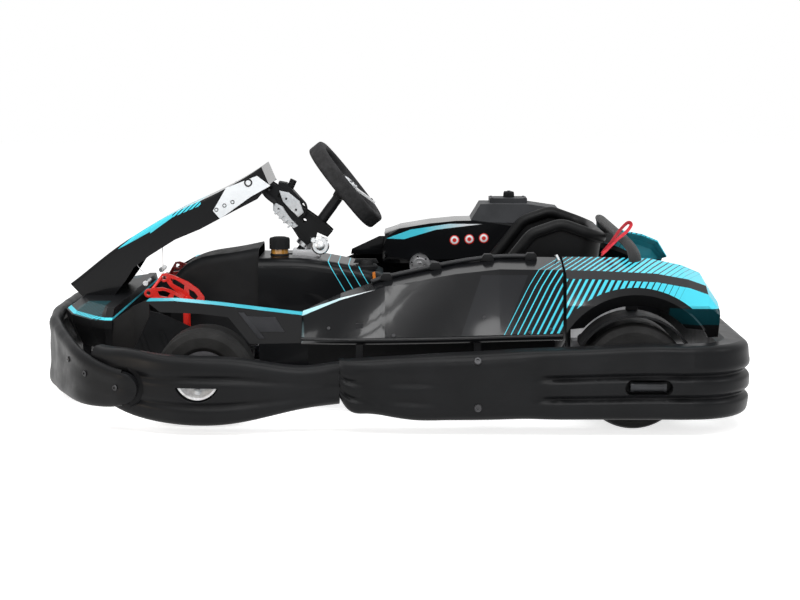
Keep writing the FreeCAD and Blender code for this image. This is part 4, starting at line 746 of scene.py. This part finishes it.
# the arm below the arch: pale ribbed casings, a clamp at its foot, a strap and a cable
armLook = {"side": 0.030, "thick": 0.006, "ease": 0.002,
           "upper": [(0.316, 0.583), (0.288, 0.577), (0.258, 0.553), (0.246, 0.520), (0.262, 0.506),
                     (0.283, 0.527), (0.306, 0.552)],
           "lower": [(0.334, 0.552), (0.306, 0.536), (0.284, 0.500), (0.262, 0.481), (0.275, 0.474),
                     (0.304, 0.492), (0.335, 0.526)],
           "rib": [(0, 0), (-0.004, -0.004), (0.010, -0.016), (0.014, -0.012)], "ribCount": 4,
           "ribStart": (0.318, 0.529), "ribStep": (-0.0125, -0.0130), "ribOut": 0.034, "ribThick": 0.004,
           "ribEase": 0.0008,
           "clamp": (0.198, 0.030, 0.424),
           "clampProfile": [(0, 0.026), (0.010, 0.026), (0.013, 0.0221), (0.013, 0.013), (0.018, 0.013),
                            (0.020, 0.0091)],
           "nut": (0.218, 0.028, 0.440), "nutProfile": [(0, 0.009), (0.016, 0.009), (0.018, 0.007)],
           "lug": [(0.178, 0.446), (0.210, 0.450), (0.214, 0.432), (0.176, 0.428)], "lugOut": 0.034,
           "lugThick": 0.010,
           "strap": [(0.372, 0.033, 0.600), (0.352, 0.033, 0.570), (0.326, 0.033, 0.549)],
           "strapRadius": 0.009, "strapFlat": 0.6,
           "cable": [(0.256, 0.034, 0.560), (0.240, 0.040, 0.545), (0.238, 0.038, 0.520),
                     (0.252, 0.033, 0.506)], "cableRadius": 0.0035,
           "screws": [(0.296, 0.560), (0.268, 0.528), (0.318, 0.530), (0.280, 0.488), (0.345, 0.585),
                      (0.360, 0.600)], "screwOut": 0.0335, "screwSize": 0.55}


def makeArmDress():
    look = armLook
    bm = bmesh.new()
    for sign in (1, -1):
        plateMesh(bm, look["upper"], look["side"] * sign, look["thick"], look["ease"])
        plateMesh(bm, look["lower"], look["side"] * sign, look["thick"], look["ease"])
        for i in range(look["ribCount"]):
            x, z = (start + step * i for start, step in zip(look["ribStart"], look["ribStep"]))
            plateMesh(bm, placed(look["rib"], x, z), look["ribOut"] * sign, look["ribThick"],
                      look["ribEase"])
    addPiece("armCasings", bm, "palePlastic")
    bm = bmesh.new()
    turnedMesh(bm, look["clamp"], (0, 1, 0), look["clampProfile"], sides=28)
    turnedMesh(bm, look["nut"], (0, 1, 0), look["nutProfile"], sides=6)
    plateMesh(bm, look["lug"], look["lugOut"], look["lugThick"], look["ease"])
    addPiece("armClamp", bm, "brightMetal")
    bm = bmesh.new()
    tubeMesh(bm, smoothLine(look["strap"]), look["strapRadius"], sides=10, flat=look["strapFlat"])
    tubeMesh(bm, smoothLine(look["cable"]), look["cableRadius"], sides=8)
    addPiece("armStraps", bm, "matt")
    marks = [(Vector((x, look["screwOut"], z)), Vector((0, 1, 0))) for x, z in look["screws"]]
    setScrews("armScrews", marks, look["screwSize"])


makeArmDress()

# the white cheeks of the arch: a ring and three bosses on each
cheekLook = {"y": 0.130, "ring": (0.396, 0.613), "ringRadius": 0.0095, "ringThick": 0.0022, "ringPoints": 32,
             "bosses": [(0.487, 0.536), (0.464, 0.548), (0.441, 0.558)], "bossSunk": 0.012,
             "bossProfile": [(0, 0.0075), (0.010, 0.0075), (0.012, 0.006), (0.012, 0.0035),
                             (0.008, 0.0035)]}


def makeCheekDress():
    look = cheekLook
    bm = bmesh.new()
    (ringX, ringZ), r = look["ring"], look["ringRadius"]
    turns = [2 * math.pi * t / look["ringPoints"] for t in range(look["ringPoints"])]
    for sign in (1, -1):
        y = look["y"] * sign
        tubeMesh(bm, [(ringX + r * math.cos(turn), y, ringZ + r * math.sin(turn)) for turn in turns],
                 look["ringThick"], sides=8, closed=True)
        for x, z in look["bosses"]:
            turnedMesh(bm, (x, y - look["bossSunk"] * sign, z), (0, sign, 0), look["bossProfile"],
                       sides=16)
    addPiece("cheekRings", bm, "matt")


makeCheekDress()

# steering wheel: three-arm plate, boss and screws, in the wheel's own plane; widths are pairs of
# distance and half width, arms are turn and reach, and screws are distance and turn
wheelLook = {"centre": (0.1280, 0.0, 0.6022), "rise": 0.004, "thick": 0.005, "arm": 0.017,
             "widths": [(0.0, 0.0288), (0.05, 0.0187), (0.08, 0.0136)],
             "arms": [(0, 0.132), (math.pi, 0.132), (-math.pi / 2, 0.104)], "bossRise": -0.022,
             "bossProfile": [(0, 0.022), (0.018, 0.024), (0.026, 0.036), (0.034, 0.036), (0.037, 0.032),
                             (0.037, 0.012), (0.040, 0.010)],
             "bossScrews": [(0.026, turn) for turn in (0.5, 1.57, 2.64, 3.7, 4.71, 5.8)],
             "bossTop": 0.015, "armScrews": [(0.118, 0), (0.118, math.pi), (0.090, -math.pi / 2)],
             "screwSize": 0.7}


def wheelPoint(y, up, rise):
    turn = next(j for j in frame["record"]["behaviour"]["joints"] if j["name"] == "steering_turn")
    axis = Vector(turn["axis"]).normalized()
    return (Vector(wheelLook["centre"]) + Vector((axis.z, 0, -axis.x)) * up + axis * rise
            + Vector((0, y, 0)))


def makeWheelPlate():
    look = wheelLook
    top = look["rise"] + look["thick"]
    bm = bmesh.new()
    for turn, far in look["arms"]:
        along, across = (math.cos(turn), math.sin(turn)), (-math.sin(turn), math.cos(turn))
        outline = look["widths"] + [(far, look["arm"])]
        outline = outline + [(reach, -half) for reach, half in outline[::-1]]
        low, high = [[bm.verts.new(wheelPoint(r * along[0] + h * across[0], r * along[1] + h * across[1],
                                              rise)) for r, h in outline] for rise in (look["rise"], top)]
        bm.faces.new(low)
        bm.faces.new(high[::-1])
        joinRings(bm, low, high)
    addPiece("wheelPlate", bm, "brightMetal", "steering")
    bm = bmesh.new()
    axis = wheelPoint(0, 0, 1) - wheelPoint(0, 0, 0)
    turnedMesh(bm, wheelPoint(0, 0, look["bossRise"]), axis, look["bossProfile"])
    addPiece("wheelBoss", bm, "palePlastic", "steering")
    marks = [(wheelPoint(r * math.cos(turn), r * math.sin(turn), rise), axis) for screws, rise in
             ((look["bossScrews"], look["bossTop"]), (look["armScrews"], top)) for r, turn in screws]
    setScrews("wheelScrews", marks, look["screwSize"], "steering")


makeWheelPlate()

# caps and knobs with ribbed rims: place, profile, count of facets, depth of the ribs
capLook = {
    "fillerTop": [(0.314, 0.060, 0.418), [(0, 0.0295), (0.026, 0.0295), (0.031, 0.0285),
                                          (0.0325, 0.0255), (0.0325, 0.020), (0.0345, 0.018)], 72, 0.0011],
    "fillerCollar": [(0.314, 0.060, 0.397), [(0, 0.0265), (0.004, 0.0275), (0.008, 0.0265)], 40, 0.0],
    "airKnob": [(-0.366, -0.350, 0.532), [(0, 0.0165), (0.004, 0.0175), (0.016, 0.0165),
                                          (0.019, 0.0145), (0.019, 0.007), (0.022, 0.005)], 36, 0.0014],
}
# the tank's own cap has a bar across its top
tankCapLook = {"place": (0.066, 0.050), "sunk": 0.006,
               "profile": [(0, 0.034), (0.010, 0.034), (0.014, 0.031), (0.015, 0.022), (0.024, 0.020),
                           (0.027, 0.017)],
               "bar": [(-0.036, 0.012), (0.036, 0.012), (0.030, 0.024), (-0.030, 0.024)],
               "barThick": 0.012, "barEase": 0.002}


def makeCaps():
    for name, (place, profile, sides, deep) in capLook.items():
        bm = bmesh.new()
        turnedMesh(bm, place, (0, 0, 1), profile, sides, deep)
        addPiece(name, bm, "matt", angle=0.4)
    look = tankCapLook
    place, _ = below("fuel_tank", *look["place"])
    bm = bmesh.new()
    turnedMesh(bm, place - Vector((0, 0, look["sunk"])), (0, 0, 1), look["profile"], sides=40)
    plateMesh(bm, placed(look["bar"], place.x, place.z), place.y, look["barThick"], look["barEase"])
    addPiece("tankCap", bm, "matt")


makeCaps()

# the cowl over the engine: one moulded shell with eased edges, seen over the side fairing
cowlLook = {"outline": [(0.020, 0.352), (0.010, 0.396), (0.018, 0.432), (-0.030, 0.448), (-0.120, 0.463),
                        (-0.200, 0.471), (-0.250, 0.472), (-0.300, 0.466), (-0.400, 0.462),
                        (-0.412, 0.380), (-0.300, 0.360), (-0.100, 0.350)],
            "middle": -0.3125, "wide": 0.161, "ease": 0.010}


def makeCowl():
    bm = bmesh.new()
    plateMesh(bm, cowlLook["outline"], cowlLook["middle"], cowlLook["wide"], cowlLook["ease"])
    cowl = addPiece("engineCowl", bm, "cover", angle=0.5)


makeCowl()

# the padded sleeve over the hoop: one bent tube with a round foot at each end
hoopLook = {"path": [(-0.664, 0.420, 0.398), (-0.664, 0.419, 0.424), (-0.662, 0.395, 0.446),
                     (-0.655, 0.350, 0.461), (-0.650, 0.300, 0.467), (-0.648, 0.180, 0.469),
                     (-0.648, 0.0, 0.469)],
            "radius": 0.0215, "flat": 0.62, "foot": (-0.664, 0.420, 0.388),
            "footProfile": [(0, 0.042), (0.016, 0.041), (0.026, 0.036), (0.029, 0.028), (0.030, 0.012)]}


def makeHoop():
    look = hoopLook
    near = look["path"]
    bm = bmesh.new()
    tubeMesh(bm, smoothLine(near + onSide(near[:-1][::-1], -1)), look["radius"],
             sides=28, flat=look["flat"])
    x, y, z = look["foot"]
    for sign in (1, -1):
        turnedMesh(bm, (x, y * sign, z), (0, 0, 1), look["footProfile"], sides=40)
    sleeve = addPiece("hoopSleeve", bm, "sleeve", angle=0.7)
    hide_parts("rear_hoop")


makeHoop()

# round stickers on the engine's cowl, with no mark of any maker: finish, radius and rise of each disc
roundels = {"places": [(-0.196, 0.412), (-0.241, 0.415), (-0.285, 0.418)],
            "discs": [("red", 0.0148, 0.0005), ("white", 0.0118, 0.0009), ("red", 0.0062, 0.0013)],
            "sunk": 0.0008, "edge": 0.0002, "top": 0.97}


def makeRoundels():
    look = roundels
    y = cowlLook["middle"] + cowlLook["wide"] / 2 - look["sunk"]
    for i, (finish, radius, rise) in enumerate(look["discs"]):
        bm = bmesh.new()
        high = rise + look["sunk"]
        for x, z in look["places"]:
            turnedMesh(bm, (x, y, z), (0, 1, 0), [(0, radius), (high - look["edge"], radius),
                                                  (high, radius * look["top"])])
        addPiece("roundel%d" % (i + 1), bm, finish)


makeRoundels()

# each side fairing's edging tube with its clamps, the skirt below it and the bead along its sill
deckLook = {"rows": [(0.040, 0.462), (0.000, 0.456), (-0.060, 0.446), (-0.130, 0.436), (-0.200, 0.428),
                     (-0.270, 0.423), (-0.330, 0.420), (-0.385, 0.420)], "tubeRadius": 0.0065,
            "clampAt": [1, 3, 5, 7], "clampThick": 0.026, "clampEase": 0.002,
            "clamp": [(-0.016, -0.002), (0.016, -0.002), (0.015, 0.010), (0.009, 0.017), (-0.009, 0.017),
                      (-0.015, 0.010)],
            "skirt": [(0.205, 0.118), (0.215, 0.150), (0.215, 0.236), (-0.455, 0.246), (-0.455, 0.118)],
            "skirtSide": 0.392, "skirtThick": 0.003, "skirtEase": 0.0006,
            "sill": [(0.222, 0.548, 0.2300), (0.060, 0.552, 0.2290), (-0.150, 0.556, 0.2330),
                     (-0.300, 0.556, 0.2375), (-0.462, 0.556, 0.2420)],
            "sillRadius": 0.0105, "sillFlat": 0.8}


def makeDeckDress():
    look = deckLook
    for sign, node, side in ((1, "side_fairing_left", "Left"), (-1, "side_fairing_right", "Right")):
        rows = [below(node, x, y * sign)[0] for x, y in look["rows"]]
        bm = bmesh.new()
        tubeMesh(bm, smoothLine([place + Vector((0, 0, look["tubeRadius"])) for place in rows]),
                 look["tubeRadius"])
        addPiece("deckTube" + side, bm, "tube")
        bm = bmesh.new()
        for i in look["clampAt"]:
            plateMesh(bm, placed(look["clamp"], rows[i].x, rows[i].z), rows[i].y, look["clampThick"],
                      look["clampEase"])
        addPiece("deckClamps" + side, bm, "matt")
        bm = bmesh.new()
        plateMesh(bm, look["skirt"], look["skirtSide"] * sign, look["skirtThick"], look["skirtEase"])
        addPiece("sideSkirt" + side, bm, "matt")
        bm = bmesh.new()
        tubeMesh(bm, smoothLine(onSide(look["sill"], sign)), look["sillRadius"],
                 sides=16, flat=look["sillFlat"])
        addPiece("sillBead" + side, bm, "gloss")


makeDeckDress()

# raised panel and strut on the side of each front fin: outline and how proud it stands
finLook = {"finPanels": ([(0.366, 0.293), (0.291, 0.291), (0.266, 0.252), (0.334, 0.252)], 0.0018),
           "finStruts": ([(0.386, 0.303), (0.372, 0.303), (0.318, 0.234), (0.334, 0.234)], 0.003)}
finFix = {"probe": (0.33, 0.27), "sunk": 0.001, "ease": 0.0008}


def makeFinDress():
    x, z = finFix["probe"]
    for name, (outline, proud) in finLook.items():
        bm = bmesh.new()
        for node, sign in (("front_fin_left", 1), ("front_fin_right", -1)):
            place, _ = surfaceOf(node, (x, farAway * sign, z), (0, -sign, 0))
            plateMesh(bm, outline, place.y + proud / 2 * sign, proud + finFix["sunk"], finFix["ease"])
        addPiece(name, bm, "facet")


makeFinDress()

# small things: pull strap, deck catches, the arch's stay wires, a shield by the engine, a strip on the tank
smallLook = {"strap": [(-0.580, 0.372, 0.440), (-0.604, 0.366, 0.468), (-0.628, 0.356, 0.500),
                       (-0.650, 0.350, 0.521), (-0.660, 0.350, 0.516), (-0.648, 0.354, 0.498),
                       (-0.618, 0.362, 0.474), (-0.588, 0.374, 0.446)],
             "strapRadius": 0.0058, "strapFlat": 0.16, "strapSteps": 8,
             "catch": [(-0.456, 0.425, 0.398), (-0.464, 0.425, 0.414), (-0.452, 0.425, 0.442)],
             "catchRadius": 0.0045,
             "wires": [[(0.646, 0.100, 0.470), (0.646, 0.100, 0.350)],
                       [(0.752, 0.100, 0.412), (0.700, 0.100, 0.350)]], "wireRadius": 0.0011,
             "shield": [(0.122, 0.362), (0.119, 0.378), (0.034, 0.418), (0.010, 0.418), (0.010, 0.362)],
             "shieldSide": -0.300, "shieldThick": 0.004,
             "strip": [(0.034, 0.315), (0.044, 0.315), (0.046, 0.355), (0.038, 0.357)],
             "stripProbe": (0.045, 0.330), "stripThick": 0.003, "stripEase": 0.0008}


def makeSmallThings():
    look = smallLook
    bm = bmesh.new()
    tubeMesh(bm, smoothLine(look["strap"], look["strapSteps"], True), look["strapRadius"],
             sides=10, closed=True, flat=look["strapFlat"])
    addPiece("pullStrap", bm, "webbing")
    bm = bmesh.new()
    for sign in (1, -1):
        tubeMesh(bm, smoothLine(onSide(look["catch"], sign)), look["catchRadius"], sides=10)
    addPiece("deckCatches", bm, "brightMetal")
    bm = bmesh.new()
    for path in look["wires"]:
        tubeMesh(bm, path, look["wireRadius"], sides=6)
    addPiece("archStays", bm, "steel")
    bm = bmesh.new()
    plateMesh(bm, look["shield"], look["shieldSide"], look["shieldThick"])
    addPiece("engineShield", bm, "gloss")
    x, z = look["stripProbe"]
    place, _ = surfaceOf("fuel_tank", (x, farAway, z), (0, -1, 0))
    bm = bmesh.new()
    plateMesh(bm, look["strip"], place.y, look["stripThick"], look["stripEase"])
    addPiece("tankStrip", bm, "orange")


makeSmallThings()

# foot bars of the pedals, and lamp bulbs
footLook = {"bar": [(0.683, 0.120, 0.334), (0.683, 0.190, 0.334)], "barRadius": 0.0075}
bulbLook = {"place": (0.482, 0.652, 0.112), "lift": 0.3,
            "profile": [(0, 0.010), (0.006, 0.011), (0.012, 0.008), (0.015, 0.003)]}


def makeFootBars():
    bm = bmesh.new()
    for sign in (1, -1):
        tubeMesh(bm, onSide(footLook["bar"], sign), footLook["barRadius"], sides=16)
    addPiece("footBars", bm, "brightMetal")


def makeBulbs():
    bm = bmesh.new()
    x, y, z = bulbLook["place"]
    for sign in (1, -1):
        turnedMesh(bm, (x, y * sign, z), (0, sign, bulbLook["lift"]), bulbLook["profile"],
                   sides=16)
    addPiece("lampBulbs", bm, "white")


makeFootBars()
makeBulbs()

# screws round the starter's drum and along the air box's lid
engineScrews = {"drum": (-0.090, 0.340), "drumRadius": 0.025, "drumTurn": 0.3, "drumCount": 6,
                "drumSize": 0.5, "lidX": (-0.312, -0.412), "lidY": (-0.382, -0.308), "lidSize": 0.6}


def makeEngineScrews():
    look = engineScrews
    (x, z), r = look["drum"], look["drumRadius"]
    turns = [i * 2 * math.pi / look["drumCount"] + look["drumTurn"] for i in range(look["drumCount"])]
    starts = [(x + r * math.cos(turn), 0, z + r * math.sin(turn)) for turn in turns]
    setScrews("drumScrews", [surfaceOf("engine_end_cap", start, (0, -1, 0)) for start in starts],
              look["drumSize"])
    setScrews("lidScrews", [below("air_box", x, y) for x in look["lidX"] for y in look["lidY"]],
              look["lidSize"])


makeEngineScrews()

bpy.data.objects.remove(screwForm)
print("pieces made")

studio = {"floorTone": 0.90, "floorRough": 0.9, "floorHalf": 14.0, "floorDrop": 0.0005, "sky": 0.30,
          "glow": 0.745}
plainRays = ("Is Camera Ray", "Is Glossy Ray", "Is Transmission Ray")


# 1 for the rays that see the plain white surroundings: straight on, off gloss and through glass
def seesPlain(t):
    path = t.node("ShaderNodeLightPath").outputs
    seen = path[plainRays[0]]
    for name in plainRays[1:]:
        seen = t.calc("MAXIMUM", seen, path[name])
    return seen


def makeFloor():
    f = Finish("studioFloor", (studio["floorTone"],) * 3, studio["floorRough"], specular=0.0)
    f.feed(f.shader.inputs["Emission Color"], (1, 1, 1))
    f.feed(f.shader.inputs["Emission Strength"], f.calc("MULTIPLY", seesPlain(f), studio["glow"]))
    mesh = bpy.data.meshes.new("studioFloor")
    half = studio["floorHalf"]
    mesh.from_pydata([(-half, -half, 0), (half, -half, 0), (half, half, 0), (-half, half, 0)], [],
                     [(0, 1, 2, 3)])
    mesh.materials.append(f.done())
    floor = inScene("studioFloor", mesh)
    floor.location.z = cadBox[0][2] - studio["floorDrop"]


# place, size, power, aim and tint of each lamp
lamps = {"overhead": [(0.2, 1.5, 2.7), (3.4, 1.1), 50, (0, 0.2, 0.2), (1, 1, 1)],
         "side": [(-0.4, 3.1, 3.4), (3.0, 0.8), 60, (0, 0, 0.3), (1, 1, 1)],
         "nose": [(3.4, 2.6, 0.9), (1.0, 0.8), 22, (0.8, 0.3, 0.2), (1.0, 0.82, 0.64)],
         "tail": [(-3.6, 1.4, 2.4), (1.2, 1.2), 22, (-0.4, 0, 0.3), (1, 1, 1)],
         "rim": [(0, -0.5, 3.7), (3.6, 0.7), 32, (0, 0, 0.4), (1, 1, 1)]}
# small upright panes, whose glints show in the gloss: places, and what each has after its place
windows = {"places": [(-0.10, 5.0, 2.34), (0.08, 5.0, 2.42), (0.26, 5.0, 2.36), (0.44, 5.0, 2.46),
                      (0.62, 5.0, 2.38), (-0.34, 5.0, 1.52), (-0.92, 5.3, 0.62), (-1.04, 5.3, 0.42)],
           "each": [(0.13, 0.30), 3.6, (0, 0.5, 0.3), (1, 1, 1)]}


def makeLights():
    panes = {"pane%d" % i: [place, *windows["each"]] for i, place in enumerate(windows["places"])}
    for name, (place, size, power, aim, tint) in {**lamps, **panes}.items():
        data = bpy.data.lights.new(name, "AREA")
        data.color = tint
        data.shape = "RECTANGLE"
        data.size, data.size_y = size
        data.energy = power
        lamp = inScene(name, data)
        lamp.location = place
        lamp.rotation_euler = (Vector(aim) - Vector(place)).to_track_quat("-Z", "Y").to_euler()
    world = bpy.data.worlds.new("studio")
    world.use_nodes = True
    t = Nodes(world.node_tree)
    tone = t.node("ShaderNodeMix", {0: seesPlain(t), 2: studio["sky"], 3: 1.0}, data_type="FLOAT")
    back = world.node_tree.nodes["Background"]
    t.feed(back.inputs["Strength"], tone.outputs[0])
    t.feed(back.inputs["Color"], (1, 1, 1))
    scene.world = world
    scene.view_settings.view_transform = "Standard"


makeFloor()
makeLights()
print("studio made")
